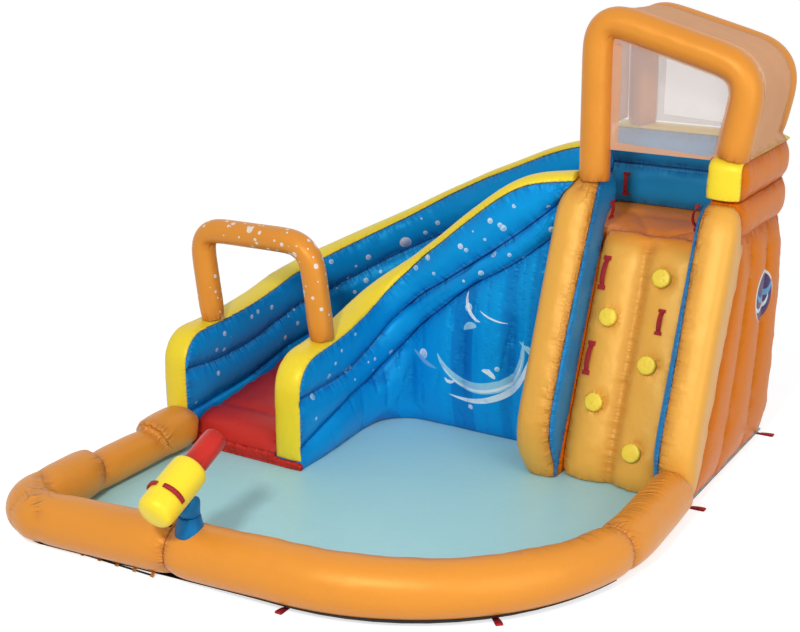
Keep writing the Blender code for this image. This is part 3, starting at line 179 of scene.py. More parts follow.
# Colours, as sRGB values
paint = {
    "orange": (224, 142, 50),
    # a lighter, yellower copy of the orange cloth: painted light for the lit climbing wall and the columns' fronts
    "paintedLitOrange": (232, 168, 70),
    # partly the side cloth's own deeper orange and partly painted shade: a deeper, more saturated copy for the tower's
    # panels and side rails, which face away from the key
    "deepOrangeAndShade": (232, 128, 22),
    "yellow": (246, 218, 50),
    "holdYellow": (242, 208, 70),
    "blue": (8, 146, 218),
    "liningBlue": (30, 140, 204),
    "red": (196, 44, 36),
    "poolBlue": (172, 222, 226),
    "webbing": (186, 20, 34),
    "webbingRib": (150, 24, 28),
    "coneBlue": (14, 102, 164),
    # painted light: a brighter, deeper orange for the platform, which lies in shade
    "platformPaintedLight": (255, 150, 44),
    "printWater": (164, 214, 232),
    "panelBlue": (14, 96, 178),
    "net": (255, 196, 146),
    "hem": (232, 172, 128),
    "clearNet": (234, 226, 222),
    "underside": (24, 22, 24),
    "thread": (238, 232, 214),
    "printWhite": (236, 244, 248),
    "printBlue": (112, 176, 224),
    "printNavy": (30, 60, 120),
    "printSand": (226, 214, 196),
}


def linear(colour):
    return tuple(((c / 255 + 0.055) / 1.055) ** 2.4 for c in colour) + (1.0,)


def ink(name):
    return linear(paint[name])


# Shader building

def addNode(tree, kind, **settings):
    made = tree.nodes.new(kind)
    for key, value in settings.items():
        setattr(made, key, value)
    return made


def wire(source, target):
    if isinstance(source, bpy.types.NodeSocket):
        target.id_data.links.new(source, target)
    else:
        target.default_value = source


def feed(made, **values):
    # links sockets and sets plain values; an underscore stands for a space
    for label, value in values.items():
        wire(value, made.inputs[label.replace("_", " ")])
    return made


def homeOf(*values):
    # the node tree of the first socket among some values
    return next(value.id_data for value in values if isinstance(value, bpy.types.NodeSocket))


def maths(operation, first, second=0.0, clamp=False):
    made = addNode(homeOf(first, second), "ShaderNodeMath", operation=operation, use_clamp=clamp)
    wire(first, made.inputs[0])
    wire(second, made.inputs[1])
    return made.outputs[0]


def plus(first, second, clamp=False):
    return maths("ADD", first, second, clamp)


def minus(first, second, clamp=False):
    return maths("SUBTRACT", first, second, clamp)


def times(first, second, clamp=False):
    return maths("MULTIPLY", first, second, clamp)


def over(first, second, clamp=False):
    return maths("DIVIDE", first, second, clamp)


def vectorMaths(operation, first, second=(0, 0, 0), scale=1.0):
    made = addNode(homeOf(first, second, scale), "ShaderNodeVectorMath", operation=operation)
    wire(first, made.inputs[0])
    wire(second, made.inputs[1])
    if operation == "SCALE":
        wire(scale, made.inputs["Scale"])
    return made.outputs["Value" if operation in ("DOT_PRODUCT", "LENGTH", "DISTANCE") else "Vector"]


def mixColour(factor, first, second, blend="MIX"):
    made = addNode(homeOf(factor), "ShaderNodeMix", data_type="RGBA", blend_type=blend)
    for socket, value in ((0, factor), (6, first), (7, second)):
        wire(value, made.inputs[socket])
    return made.outputs[2]


def noiseAt(vector, scale, detail=2.0, roughness=0.5):
    made = addNode(homeOf(vector), "ShaderNodeTexNoise")
    return feed(made, Vector=vector, Scale=scale, Detail=detail, Roughness=roughness).outputs["Fac"]


def placeOf(tree):
    return addNode(tree, "ShaderNodeTexCoord").outputs["Object"]


def bumpBy(shader, height):
    bump = feed(addNode(shader.id_data, "ShaderNodeBump"), Distance=1.0, Height=height)
    feed(shader, Normal=bump.outputs["Normal"])


def attribute(tree, name, output):
    return addNode(tree, "ShaderNodeAttribute", attribute_name=name).outputs[output]


def newGroup(name, inputs, outputs):
    tree = bpy.data.node_groups.new(name, "ShaderNodeTree")
    for label, value in inputs.items():
        kind = "Float" if isinstance(value, float) else {3: "Vector", 4: "Color"}[len(value)]
        socket = tree.interface.new_socket(label, in_out="INPUT", socket_type="NodeSocket" + kind)
        socket.default_value = value
    for label in outputs:
        kind = "Color" if label == "Colour" else "Float"
        tree.interface.new_socket(label, in_out="OUTPUT", socket_type="NodeSocket" + kind)
    return tree, addNode(tree, "NodeGroupInput").outputs, addNode(tree, "NodeGroupOutput").inputs


def useGroup(tree, group, **values):
    return feed(addNode(tree, "ShaderNodeGroup", node_tree=group), **values)


def partsOf(vector):
    return feed(addNode(homeOf(vector), "ShaderNodeSeparateXYZ"), Vector=vector).outputs


def pulse(distance, middle, half):
    away = maths("ABSOLUTE", minus(distance, middle))
    return minus(1.0, over(away, half), clamp=True)


puckerFacts = {
    "broadShare": 0.3,        # frequency of the longer folds, as a share of the short wrinkles'
    "broadHeight": 1.6,
    "shortDip": (0.50, 7.0),  # level below which a wrinkle counts as a trough, and how sharply
    "wideDip": (0.47, 5.0),
    "wideShade": 0.6,
    "seamLine": 0.010,        # metres that the painted shade along a seam's crease takes
    "valley": 0.12,           # and the soft painted shade beside it
}


def fadeBy(distance, reach):
    # 1 at a seam, 0 from the reach on, so that nothing jumps halfway between two seams
    left = minus(1.0, over(distance, reach), clamp=True)
    return times(left, left)


def makePuckerGroup():
    tree, given, out = newGroup(
        "Seam puckers",
        {"Frequency": 70.0, "Reach": 0.06, "Broad Reach": 0.12},
        ("Height", "Seam", "Troughs", "Valley"),
    )
    distance = attribute(tree, "seam_distance", "Fac")
    spot = attribute(tree, "seam_spot", "Vector")
    fine = noiseAt(spot, given["Frequency"], 1.0)
    slower = times(given["Frequency"], puckerFacts["broadShare"])
    broad = noiseAt(spot, slower, 1.0)
    nearFade = fadeBy(distance, given["Reach"])
    farFade = fadeBy(distance, given["Broad Reach"])
    close = times(minus(fine, 0.5), nearFade)
    wide = times(minus(broad, 0.5), farFade)
    wire(plus(close, times(wide, puckerFacts["broadHeight"])), out["Height"])
    # Troughs, Seam and Valley are masks for painted shade: in the wrinkles' troughs, along a seam's crease and in the
    # valley beside it
    level, steepness = puckerFacts["shortDip"]
    shortDip = times(minus(level, fine), steepness, clamp=True)
    level, steepness = puckerFacts["wideDip"]
    wideDip = times(minus(level, broad), steepness, clamp=True)
    wideDip = times(times(wideDip, farFade), puckerFacts["wideShade"])
    wire(maths("MAXIMUM", times(shortDip, nearFade), wideDip), out["Troughs"])
    line = attribute(tree, "line_distance", "Fac")
    wire(fadeBy(line, puckerFacts["seamLine"]), out["Seam"])
    wire(fadeBy(line, puckerFacts["valley"]), out["Valley"])
    return tree


stitchFacts = {
    "halfWidth": 0.0014,      # metres, of a row's line
    "gap": 0.3,               # share of a stitch's step that is bare
    "run": (1.0, 0.93, 0.86), # the steps are counted this way, which is along no axis
}


def makeStitchGroup():
    tree, given, out = newGroup(
        "Stitch rows",
        {"First Row": 0.007, "Second Row": 0.013, "Stitch": 0.008},
        ("Mask",),
    )
    distance = attribute(tree, "line_distance", "Fac")
    spot = attribute(tree, "seam_spot", "Vector")
    run = vectorMaths("DOT_PRODUCT", spot, stitchFacts["run"])
    step = maths("FRACT", over(run, given["Stitch"]))
    dash = maths("GREATER_THAN", step, stitchFacts["gap"])
    first, second = (pulse(distance, given[row], stitchFacts["halfWidth"])
                     for row in ("First Row", "Second Row"))
    wire(times(maths("MAXIMUM", first, second), dash), out["Mask"])
    return tree


clothFacts = {
    "cloudScale": 2.4,        # wide, faint changes of shade
    "grainScale": 55.0,
    "grainShade": 0.05,
    "roughness": 0.28,        # at its least, and what it gains with the clouds
    "roughnessGain": 0.14,
    "dentScale": 7.5,
    "weaveHeight": 0.00003,
}


def makeClothGroup():
    tree, given, out = newGroup(
        "Coated cloth",
        {"Colour": (0.8, 0.8, 0.8, 1), "Variation": 0.12, "Weave Pitch": 0.0016, "Dent Depth": 0.006},
        ("Colour", "Roughness", "Height"),
    )
    place = placeOf(tree)
    clouds = noiseAt(place, clothFacts["cloudScale"], 3.0)
    grain = noiseAt(place, clothFacts["grainScale"], 2.0)
    shade = times(minus(clouds, 0.5), given["Variation"])
    shade = plus(shade, times(minus(grain, 0.5), clothFacts["grainShade"]))
    level = plus(1.0, shade)
    tinted = feed(addNode(tree, "ShaderNodeHueSaturation"), Color=given["Colour"], Value=level)
    wire(tinted.outputs["Color"], out["Colour"])
    gain = times(clouds, clothFacts["roughnessGain"])
    wire(plus(clothFacts["roughness"], gain), out["Roughness"])
    total = 0.0
    for part in partsOf(place):
        turn = over(part, given["Weave Pitch"])
        total = plus(maths("SINE", times(turn, 2 * math.pi)), total)
    dents = times(noiseAt(place, clothFacts["dentScale"], 2.0), given["Dent Depth"])
    wire(plus(times(total, clothFacts["weaveHeight"]), dents), out["Height"])
    return tree


bubbleFacts = {
    "lightFrom": (-0.45, -0.40, 0.80),
    "lightSpread": 1.7,       # radii over which the shade runs from dark to light
    "glintAt": (-0.30, -0.30, 0.38),
    "glintSize": 0.26,
}


def makeBubbleGroup():
    tree, given, out = newGroup(
        "Printed bubbles",
        {"Scale": 6.0, "Share": 0.4, "Line": 0.10, "Smallest": 0.08, "Largest": 0.36},
        ("Outline", "Fill", "Light"),
    )
    place = placeOf(tree)
    cells = addNode(tree, "ShaderNodeTexVoronoi", voronoi_dimensions="3D", feature="F1")
    feed(cells, Vector=place, Scale=given["Scale"])
    chance = feed(addNode(tree, "ShaderNodeSeparateColor"), Color=cells.outputs["Color"])
    there = maths("LESS_THAN", chance.outputs[1], given["Share"])
    spread = minus(given["Largest"], given["Smallest"])
    radius = plus(given["Smallest"], times(spread, chance.outputs[0]))
    away = cells.outputs["Distance"]
    width = times(radius, given["Line"])
    ring = maths("LESS_THAN", maths("ABSOLUTE", minus(away, radius)), width)
    inside = maths("LESS_THAN", away, radius)
    offset = vectorMaths("SUBTRACT", place, cells.outputs["Position"])
    offset = vectorMaths("SCALE", offset, scale=given["Scale"])
    lean = vectorMaths("DOT_PRODUCT", offset, bubbleFacts["lightFrom"])
    light = plus(0.5, over(lean, times(radius, bubbleFacts["lightSpread"])), clamp=True)
    wire(light, out["Light"])
    glintAt = vectorMaths("SCALE", bubbleFacts["glintAt"], scale=radius)
    glintAway = vectorMaths("DISTANCE", offset, glintAt)
    glint = maths("LESS_THAN", glintAway, times(radius, bubbleFacts["glintSize"]))
    wire(times(maths("MAXIMUM", ring, glint), there), out["Outline"])
    wire(times(inside, there), out["Fill"])
    return tree


strokeTaper = 0.7             # below 1, a stroke keeps its width until near its ends


def makeSplashGroup():
    tree, given, out = newGroup(
        "Printed splash stroke",
        {"Centre": (0, 0, 0), "Radius": 0.3, "Towards": (0, 0, -1), "Spread": 0.4, "Width": 0.02},
        ("Mask",),
    )
    place = placeOf(tree)
    offset = vectorMaths("SUBTRACT", place, given["Centre"])
    away = vectorMaths("LENGTH", offset)
    heading = vectorMaths("NORMALIZE", offset)
    aim = vectorMaths("DOT_PRODUCT", heading, given["Towards"])
    reach = minus(1.0, given["Spread"])
    taper = over(minus(aim, given["Spread"]), reach, clamp=True)
    width = times(maths("POWER", taper, strokeTaper), given["Width"])
    edge = maths("ABSOLUTE", minus(away, given["Radius"]))
    wire(maths("LESS_THAN", edge, width), out["Mask"])
    return tree


stripes = {
    "shift": 0.37,            # of the second wave against the first, in metres and in frequency
    "ratio": 1.73,
}


def makeBandGroup():
    # a second tone along an axis: one slow change, or uneven stripes where a period is given
    tree, given, out = newGroup(
        "Along an axis",
        {"Axis": (0, 1, 0), "From": 0.0, "To": 1.0, "Period": 0.0},
        ("Mask",),
    )
    along = vectorMaths("DOT_PRODUCT", placeOf(tree), given["Axis"])
    period = given["Period"]
    first = maths("SINE", times(along, period))
    second = maths("SINE", times(plus(along, stripes["shift"]),
                                       times(period, stripes["ratio"])))
    plain = times(along, maths("LESS_THAN", period, 0.01))
    level = plus(plain, plus(first, second))
    span = minus(given["To"], given["From"])
    wire(over(minus(level, given["From"]), span, clamp=True), out["Mask"])
    return tree


puckers = makePuckerGroup()
stitchRows = makeStitchGroup()
coatedCloth = makeClothGroup()
bubblePrint = makeBubbleGroup()
splashStroke = makeSplashGroup()
bandMask = makeBandGroup()


def newMaterial(name):
    made = bpy.data.materials.new(name)
    made.use_nodes = True
    return made, made.node_tree, made.node_tree.nodes["Principled BSDF"]


def deeper(colour, level=0.35):
    # the colour's own tint, light enough to paint shade into a fold by multiplying
    return tuple(level + (0.8 - level) * v for v in ink(colour)[:3]) + (1.0,)


def layered(mask, share, below, above, blend="MIX"):
    return mixColour(times(mask, share), below, above, blend)


clothDefaults = {
    "frequency": 72.0,        # wrinkles per metre along a seam
    "reach": 0.065,           # metres that the short and the broad wrinkles run out from it
    "broad": 0.12,
    "crease": 0.016,          # height of the wrinkles
    "stitches": True,
    "seamShade": 0.5,         # how strongly painted shade darkens the seam's line, the wrinkles' troughs and the valley
    "troughShade": 0.6,
    "valleyShade": 0.6,
    "specular": 1.0,
    "bubbles": (),            # scale, share of cells, smallest and largest radius
    "bubbleFill": "printBlue",
    "strokes": (),
    "second": None,           # second tone: colour, axis, start, end, period, share
    "stitchColour": "thread",
    "stitchShade": 0.12,
    "printShare": 0.9,        # how strongly the prints cover the cloth's colour
    "outlineShare": 0.55,
}
seamCreaseShade = (0.10, 0.06, 0.04, 1)


def clothMaterial(name, colour, **changes):
    look = {**clothDefaults, **changes}
    made, tree, shader = newMaterial(name)
    cloth = useGroup(tree, coatedCloth, Colour=ink(colour))
    tone = cloth.outputs["Colour"]
    white = ink("printWhite")
    if look["second"]:
        shade, axis, start, end, period, share = look["second"]
        band = useGroup(tree, bandMask, Axis=axis, From=start, To=end, Period=period)
        tone = layered(band.outputs["Mask"], share, tone, ink(shade))
    for scale, share, smallest, largest in look["bubbles"]:
        dots = useGroup(tree, bubblePrint, Scale=scale, Share=share, Smallest=smallest, Largest=largest)
        ball = mixColour(dots.outputs["Light"], ink(look["bubbleFill"]), white)
        tone = layered(dots.outputs["Fill"], look["printShare"], tone, ball)
        tone = layered(dots.outputs["Outline"], look["outlineShare"], tone, white)
    for centre, radius, towards, spread, width, shade in look["strokes"]:
        stroke = useGroup(tree, splashStroke, Centre=centre, Radius=radius,
                          Towards=Vector(towards).normalized(), Spread=spread, Width=width)
        tone = layered(stroke.outputs["Mask"], look["printShare"], tone, ink(shade))
    folds = useGroup(tree, puckers, Frequency=look["frequency"], Reach=look["reach"],
                     Broad_Reach=look["broad"])
    # painted shade: the cloth is darkened in the valley beside a seam, in the wrinkles' troughs and along the seam's
    # crease
    deep = deeper(colour)
    tone = layered(folds.outputs["Valley"], look["valleyShade"], tone, deep, "MULTIPLY")
    tone = layered(folds.outputs["Troughs"], look["troughShade"], tone, deep, "MULTIPLY")
    tone = layered(folds.outputs["Seam"], look["seamShade"], tone, seamCreaseShade, "MULTIPLY")
    if look["stitches"]:
        rows = useGroup(tree, stitchRows)
        tone = layered(rows.outputs["Mask"], look["stitchShade"], tone, ink(look["stitchColour"]))
    warm = [v ** 0.5 for v in ink(colour)[:3]]
    feed(shader, Base_Color=tone, Roughness=cloth.outputs["Roughness"], Specular_IOR_Level=look["specular"],
         Specular_Tint=tuple(v / max(warm) for v in warm) + (1.0,))
    wrinkles = times(folds.outputs["Height"], look["crease"])
    bumpBy(shader, plus(wrinkles, cloth.outputs["Height"]))
    return made


# centre, radius, middle direction, cosine where the stroke ends, half width, print colour
splashes = (
    ((0.05, 0.80, 0.62), 0.34, (0.3, 0, -1), 0.10, 0.034, "printWater"),
    ((0.05, 0.80, 0.60), 0.338, (0.35, 0, -1), 0.30, 0.009, "printWhite"),
    ((-0.02, 0.80, 0.66), 0.46, (0.7, 0, -0.9), 0.55, 0.020, "printWhite"),
    ((0.28, 0.80, 0.50), 0.22, (1, 0, 0.2), 0.35, 0.020, "printWater"),
    ((0.02, 0.66, 0.63), 0.085, (-0.4, 0, 1), 0.78, 0.022, "printWater"),
    ((0.10, 0.66, 0.36), 0.090, (0.5, 0, 1), 0.80, 0.020, "printWhite"),
    ((0.12, 0.80, 0.86), 0.20, (-0.8, 0, -0.5), 0.50, 0.014, "printWhite"),
    ((-0.16, 0.80, 0.40), 0.17, (-0.2, 0, -1), 0.30, 0.018, "printWhite"),
    ((0.38, 0.80, 0.86), 0.14, (0.7, 0, -0.6), 0.45, 0.012, "printBlue"),
    ((0.20, 0.80, 0.98), 0.26, (-0.3, 0, -1), 0.75, 0.016, "printWhite"),
    ((0.22, 0.55, 1.02), 0.60, (0.6, 0, -1), 0.955, 0.022, "printWhite"),
    ((-0.10, 0.55, 0.90), 0.52, (-0.5, 0, -1), 0.965, 0.020, "printBlue"),
)
# a plain roundel of waves on the tower's side
roundel = (
    ((1.60, 1.33, 0.97), 0.0, (0, 0, 1), -60.0, 0.150, "printNavy"),
    ((1.60, 1.33, 0.97), 0.158, (0, -0.4, 0.9), -0.6, 0.010, "printWhite"),
    ((1.60, 1.27, 1.05), 0.085, (0, 0.2, -1), 0.1, 0.016, "printBlue"),
    ((1.60, 1.39, 1.05), 0.085, (0, 0.2, -1), 0.1, 0.016, "printBlue"),
    ((1.60, 1.24, 0.98), 0.075, (0, 0.1, -1), 0.1, 0.012, "printWhite"),
    ((1.60, 1.36, 0.97), 0.080, (0, 0.1, -1), 0.1, 0.012, "printWhite"),
)
clothLooks = {
    "orangeCloth": dict(colour="orange", valleyShade=0.3, troughShade=0.35),
    "tubeCloth": dict(colour="orange", valleyShade=0.3, troughShade=0.4, crease=0.022),
    # from y 0.80 to 0.96 the climbing cloth blends into a brighter orange, kept over the whole platform behind:
    # painted light where the platform lies in shade
    "climbCloth": dict(colour="paintedLitOrange", stitches=False, seamShade=0.3, broad=0.09, troughShade=0.22,
                       crease=0.010, second=("platformPaintedLight", (0, 1, 0), 0.80, 0.96, 0.0, 1.0)),
    "columnCloth": dict(colour="paintedLitOrange", valleyShade=0.9, troughShade=0.45),
    "sideCloth": dict(colour="deepOrangeAndShade", stitches=False, troughShade=0.35, specular=0.1),
    "sidePrintCloth": dict(colour="deepOrangeAndShade", stitches=False, troughShade=0.35, specular=0.1,
                           strokes=roundel),
    "archCloth": dict(colour="orange", frequency=50.0, seamShade=0.25, broad=0.14, troughShade=0.4),
    "sprinklerCloth": dict(colour="orange", bubbles=((13.0, 0.55, 0.08, 0.32), (27.0, 0.45, 0.10, 0.34)),
                           bubbleFill="printSand", seamShade=0.25),
    "yellowCloth": dict(colour="yellow", frequency=85.0, reach=0.036, broad=0.045, crease=0.006,
                        valleyShade=0.2, seamShade=0.35),
    "wallCloth": dict(colour="blue", bubbles=((5.6, 0.34, 0.08, 0.26), (14.0, 0.30, 0.10, 0.30))),
    "curtainCloth": dict(colour="blue", bubbles=((6.4, 0.26, 0.06, 0.20),), strokes=splashes,
                         stitches=False, reach=0.045, broad=0.06, crease=0.009, troughShade=0.4,
                         second=("panelBlue", (1.0, -0.4, 0), 0.1, 0.5, 14.0, 0.55)),
    "cannonCloth": dict(colour="yellow", frequency=80.0, reach=0.060, broad=0.09, crease=0.014,
                        valleyShade=0.25, seamShade=0.35, troughShade=0.45),
    "plainBlueCloth": dict(colour="liningBlue", broad=0.08),
    "redCloth": dict(colour="red", stitchColour="red", broad=0.10),
    "coneCloth": dict(colour="coneBlue", stitches=False, crease=0.003, valleyShade=0.3),
    "holdCloth": dict(colour="holdYellow", stitches=False, frequency=90.0, reach=0.024, broad=0.030,
                      crease=0.005, seamShade=0.15, valleyShade=0.0),
}
materials = {name: clothMaterial(name, **look) for name, look in clothLooks.items()}
print("cloth materials built")


# Soft forms: each inflated piece, rounder and finer than its solid, drawn in and wrinkled at its seams

soft = {
    "voxel": 0.0100,          # metres between the points of the large pieces
    "fineVoxel": 0.0055,
    "pinch": 0.0050,          # how deep the drawn-in cloth lies right beside a seam
    "pinchReach": 0.060,
    "pinchesPerMetre": 24.0,
    "fold": 0.0070,           # and how deep the longer folds are that run out from it
    "foldReach": 0.130,
    "foldsPerMetre": 9.0,
    "slack": 0.0016,          # of the whole surface, over wide waves
    "slackPerMetre": 4.0,
    "deepest": 0.016,         # limit of all of these together
    "fill": 0.95,             # share of a form that is padded out, for the frame's table
    "softReach": 0.075,       # how far a soft fold's dip runs out from its line
    "touching": 0.010,        # closer than this to a neighbour, the cloth is held by it and stays put
    "nearby": 0.020,          # boxes further apart than this belong to pieces that can't touch
    "weld": 0.00003,
    "quickShare": 1.8,
    "seamSpacing": 0.006,     # metres between the points that stand for a seam
    "upright": 0.85,          # least z of a fold's direction that counts as upright
    "straightOn": 0.97,       # cosine of the turn up to which an edge carries a fold on
}


def placed(name, data):
    made = bpy.data.objects.new(name, data)
    bpy.context.scene.collection.objects.link(made)
    return made


def meshFrom(work, name, sharp=None):
    data = bpy.data.meshes.new(name)
    work.to_mesh(data)
    work.free()
    if sharp:
        data.shade_smooth()
        data.set_sharp_from_angle(angle=math.radians(sharp))
    return placed(name, data)


def meshFromRings(name, rings, closed=False, sharp=50):
    work = bmesh.new()
    rows = [[work.verts.new(point) for point in ring] for ring in rings]
    around = len(rows[0])
    pairs = list(zip(rows, rows[1:])) + ([(rows[-1], rows[0])] if closed else [])
    for first, second in pairs:
        for k in range(around):
            work.faces.new((first[k], first[(k + 1) % around], second[(k + 1) % around], second[k]))
    if not closed:
        work.faces.new(rows[0][::-1])
        work.faces.new(rows[-1])
    bmesh.ops.recalc_face_normals(work, faces=work.faces)
    return meshFrom(work, name, sharp)


def allOf(work):
    return work.verts[:] + work.edges[:] + work.faces[:]


def solidTree(*names):
    verts, faces = [], []
    for name in names:
        data = nodes[name].data
        start = len(verts)
        verts += [v.co for v in data.vertices]
        faces += [[start + k for k in polygon.vertices] for polygon in data.polygons]
    return bvhtree.BVHTree.FromPolygons(verts, faces)


def weldedCopy(*names):
    work = bmesh.new()
    for name in names:
        work.from_mesh(nodes[name].data)
        bmesh.ops.remove_doubles(work, verts=work.verts, dist=soft["weld"])
    return work


def turned(degrees, first, second):
    # the direction that lies so far round from the first towards the second
    return first * math.cos(math.radians(degrees)) + second * math.sin(math.radians(degrees))


def alongEdge(edge):
    first, second = edge.verts[0].co, edge.verts[1].co
    count = max(1, int((second - first).length / soft["seamSpacing"]))
    return [first.lerp(second, (k + 0.5) / count) for k in range(count)]


def bendOf(edge):
    return edge.calc_face_angle(0.0) if len(edge.link_faces) == 2 else 0.0


def followOn(edge, vert, taken):
    # the edges that carry a seam straight on, up to the piece's border
    for step in range(14):
        heading = (vert.co - edge.other_vert(vert).co).normalized()
        turns = {e: (e.other_vert(vert).co - vert.co).normalized().dot(heading)
                 for e in vert.link_edges if e is not edge}
        best = max(turns, key=turns.get, default=None)
        if best is None or best in taken or turns[best] < soft["straightOn"]:
            return
        taken.add(best)
        edge, vert = best, best.other_vert(vert)


def seamPoints(work, angle, uprightAngle=None):
    # the sewn lines, and the softer upright folds between a panel's cells
    sewn = {edge for edge in work.edges if bendOf(edge) > math.radians(angle)}
    taken = set(sewn)
    if uprightAngle:
        bent = [e for e in work.edges if e not in taken and bendOf(e) > math.radians(uprightAngle)]
        valleys = [edge for edge in bent
                   if abs((edge.verts[0].co - edge.verts[1].co).normalized().z) > soft["upright"]]
        taken.update(valleys)
        for edge in valleys:
            for vert in edge.verts:
                followOn(edge, vert, taken)
    # in the mesh's own order, since a set's order changes from run to run
    return [[point for edge in work.edges if edge in group for point in alongEdge(edge)]
            for group in (sewn, taken - sewn)]


def planeFold(node, point, normal, reach=9.0):
    # points where an upright cut through a spot meets the piece's surface
    work = weldedCopy(node)
    found = bmesh.ops.bisect_plane(work, geom=allOf(work), plane_co=point, plane_no=normal)["geom_cut"]
    points = [p for edge in found if isinstance(edge, bmesh.types.BMEdge) for p in alongEdge(edge)]
    work.free()
    return [p for p in points if (p - Vector(point)).length < reach]


def planeFolds(node, cuts, reach):
    return [point for spot, normal in cuts for point in planeFold(node, spot, normal, reach)]


def treeOf(points):
    tree = kdtree.KDTree(max(1, len(points)))
    for i, point in enumerate(points or [Vector((0, 0, -9))]):
        tree.insert(point, i)
    tree.balance()
    return tree


def dress(made, node, material):
    made.data.materials.clear()
    made.data.materials.append(materials[material])
    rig.ride(made, bodyOf[node])
    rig.replaces(made, node)
    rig.slot(made, slotOf[node])
    return made


def addSeamData(data, seams, folds, foldShare=1.9):
    seamTree, foldTree = treeOf(seams), treeOf(folds)
    count = len(data.vertices)
    distances = np.zeros(count, np.float32)
    lines = np.zeros(count, np.float32)
    spots = np.zeros((count, 3), np.float32)
    for i, vertex in enumerate(data.vertices):
        spot, index, distance = seamTree.find(vertex.co)
        lines[i] = distance
        if folds:
            other, index, away = foldTree.find(vertex.co)
            if away * foldShare < distance:     # most folds draw the cloth in less far than a seam
                spot, distance = other, away * foldShare
        distances[i] = distance
        spots[i] = spot
    data.attributes.new("seam_distance", "FLOAT", "POINT").data.foreach_set("value", distances)
    data.attributes.new("line_distance", "FLOAT", "POINT").data.foreach_set("value", lines)
    data.attributes.new("seam_spot", "FLOAT_VECTOR", "POINT").data.foreach_set("vector", spots.ravel())
    return distances, spots


def applied(made):
    bpy.context.view_layer.update()
    seen = made.evaluated_get(bpy.context.evaluated_depsgraph_get())
    data = bpy.data.meshes.new_from_object(seen)
    made.modifiers.clear()
    made.data = data
    return made


def neighbourTree(own):
    # the solids round a piece, near enough to touch it, but for what is sewn or lies on it
    boxes = [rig.box(node) for node in own]
    around = []
    for name in nodes:
        low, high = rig.box(name)
        gap = soft["nearby"]
        near = any(all(low[k] < far[k] + gap and high[k] > close[k] - gap for k in range(3))
                   for close, far in boxes)
        if near and name not in own and not any(word in name for word in ("handle", "hold", "net")):
            around.append(name)
    return solidTree(*around) if around else None


def noiseRow(points, scale):
    return np.array([noise.noise(Vector(point) * scale) for point in points], np.float32)


def evenForm(work, name, sharpAngle, levels, smooth, voxel):
    # rounded between the edges that are sharper than the angle, and cut into even points
    crease = work.edges.layers.float.new("crease_edge")
    for edge in work.edges:
        if bendOf(edge) > math.radians(sharpAngle):
            edge[crease] = 1.0
    bmesh.ops.join_triangles(work, faces=work.faces, angle_face_threshold=math.radians(35),
                             angle_shape_threshold=math.radians(120))
    made = meshFrom(work, name)
    if levels:
        made.modifiers.new("rounding", "SUBSURF").levels = levels
    remesh = made.modifiers.new("even points", "REMESH")
    remesh.mode = "VOXEL"
    remesh.voxel_size = soft[voxel] * (soft["quickShare"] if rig.quick() else 1.0)
    soften = made.modifiers.new("soften", "SMOOTH")
    soften.factor = 0.5
    soften.iterations = smooth
    return applied(made)


def inwardOf(points, distances, spots, spread, depth):
    # how far the cloth is drawn in: pinches beside a seam, longer folds out from it, and some slack
    near = np.clip(1 - distances / (soft["pinchReach"] * spread), 0, 1) ** 2
    far = np.clip(1 - distances / (soft["foldReach"] * spread), 0, 1) ** 2
    pinches = near * (0.5 + 1.2 * noiseRow(spots, soft["pinchesPerMetre"]))
    runs = far * (0.6 + 1.4 * noiseRow(spots, soft["foldsPerMetre"]))
    inward = soft["pinch"] * pinches + soft["fold"] * runs
    return depth * inward + soft["slack"] * (0.5 + 0.5 * noiseRow(points, soft["slackPerMetre"]))


def softForm(node, cloth, fine=False, angle=38.0, smooth=5, folds=(), levels=2, depth=1.0, upright=None,
             hard=None, also=(), spread=1.0, softFolds=(), softDepth=0.006, foldShare=1.9):
    work = weldedCopy(node, *also)
    seams, valleys = seamPoints(work, angle, upright)
    voxel = "fineVoxel" if fine else "voxel"
    made = evenForm(work, node + "_cloth", hard or angle, levels, smooth, voxel)
    data = made.data
    distances, spots = addSeamData(data, seams, list(folds) + valleys, foldShare)
    count = len(data.vertices)
    points = np.zeros(count * 3, np.float32)
    normals = np.zeros(count * 3, np.float32)
    data.vertices.foreach_get("co", points)
    data.vertex_normals.foreach_get("vector", normals)
    points, normals = points.reshape(-1, 3), normals.reshape(-1, 3)
    inward = inwardOf(points, distances, spots, spread, depth)
    if softFolds:
        line = treeOf(softFolds)
        away = np.array([line.find(Vector(point))[2] for point in points], np.float32)
        inward = inward + softDepth * np.clip(1 - away / soft["softReach"], 0, 1) ** 2
    around = neighbourTree((node, *also))
    if around:
        for i in np.nonzero(inward > 0.001)[0]:
            away = around.find_nearest(Vector(points[i]), soft["touching"])[3]
            if away is not None:
                inward[i] *= away / soft["touching"]
    points -= normals * np.clip(inward, -0.001, soft["deepest"])[:, None]
    data.vertices.foreach_set("co", points.ravel())
    data.update()
    data.shade_smooth()
    dress(made, node, cloth)
    for other in also:
        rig.replaces(made, other)
    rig.padded(made, fill=soft["fill"])
    return made


# Pool wall

poolWall = {
    "pullHeight": 0.268,      # of the line along which the pool's floor pulls at the tubes
    "poolMiddle": Vector((-0.35, -0.75, 0.20)),
    "bendCentre": Vector((0.195, -0.340, 0.145)),
    "leftFolds": (((-1.24, -1.76, 0.15), (1, -0.6, 0)), ((-1.32, -1.68, 0.15), (1, 0.9, 0)),
                  ((-1.36, -1.60, 0.15), (0.5, 1, 0))),
}


def innerLine(node):
    # on a tube's inner side, at the height where the pool's floor pulls at it
    surface = solidTree(node)
    found = planeFold(node, (0, 0, poolWall["pullHeight"]), (0, 0, 1))
    return [p for p in found if surface.find_nearest(p)[1].dot(poolWall["poolMiddle"] - p) > 0]


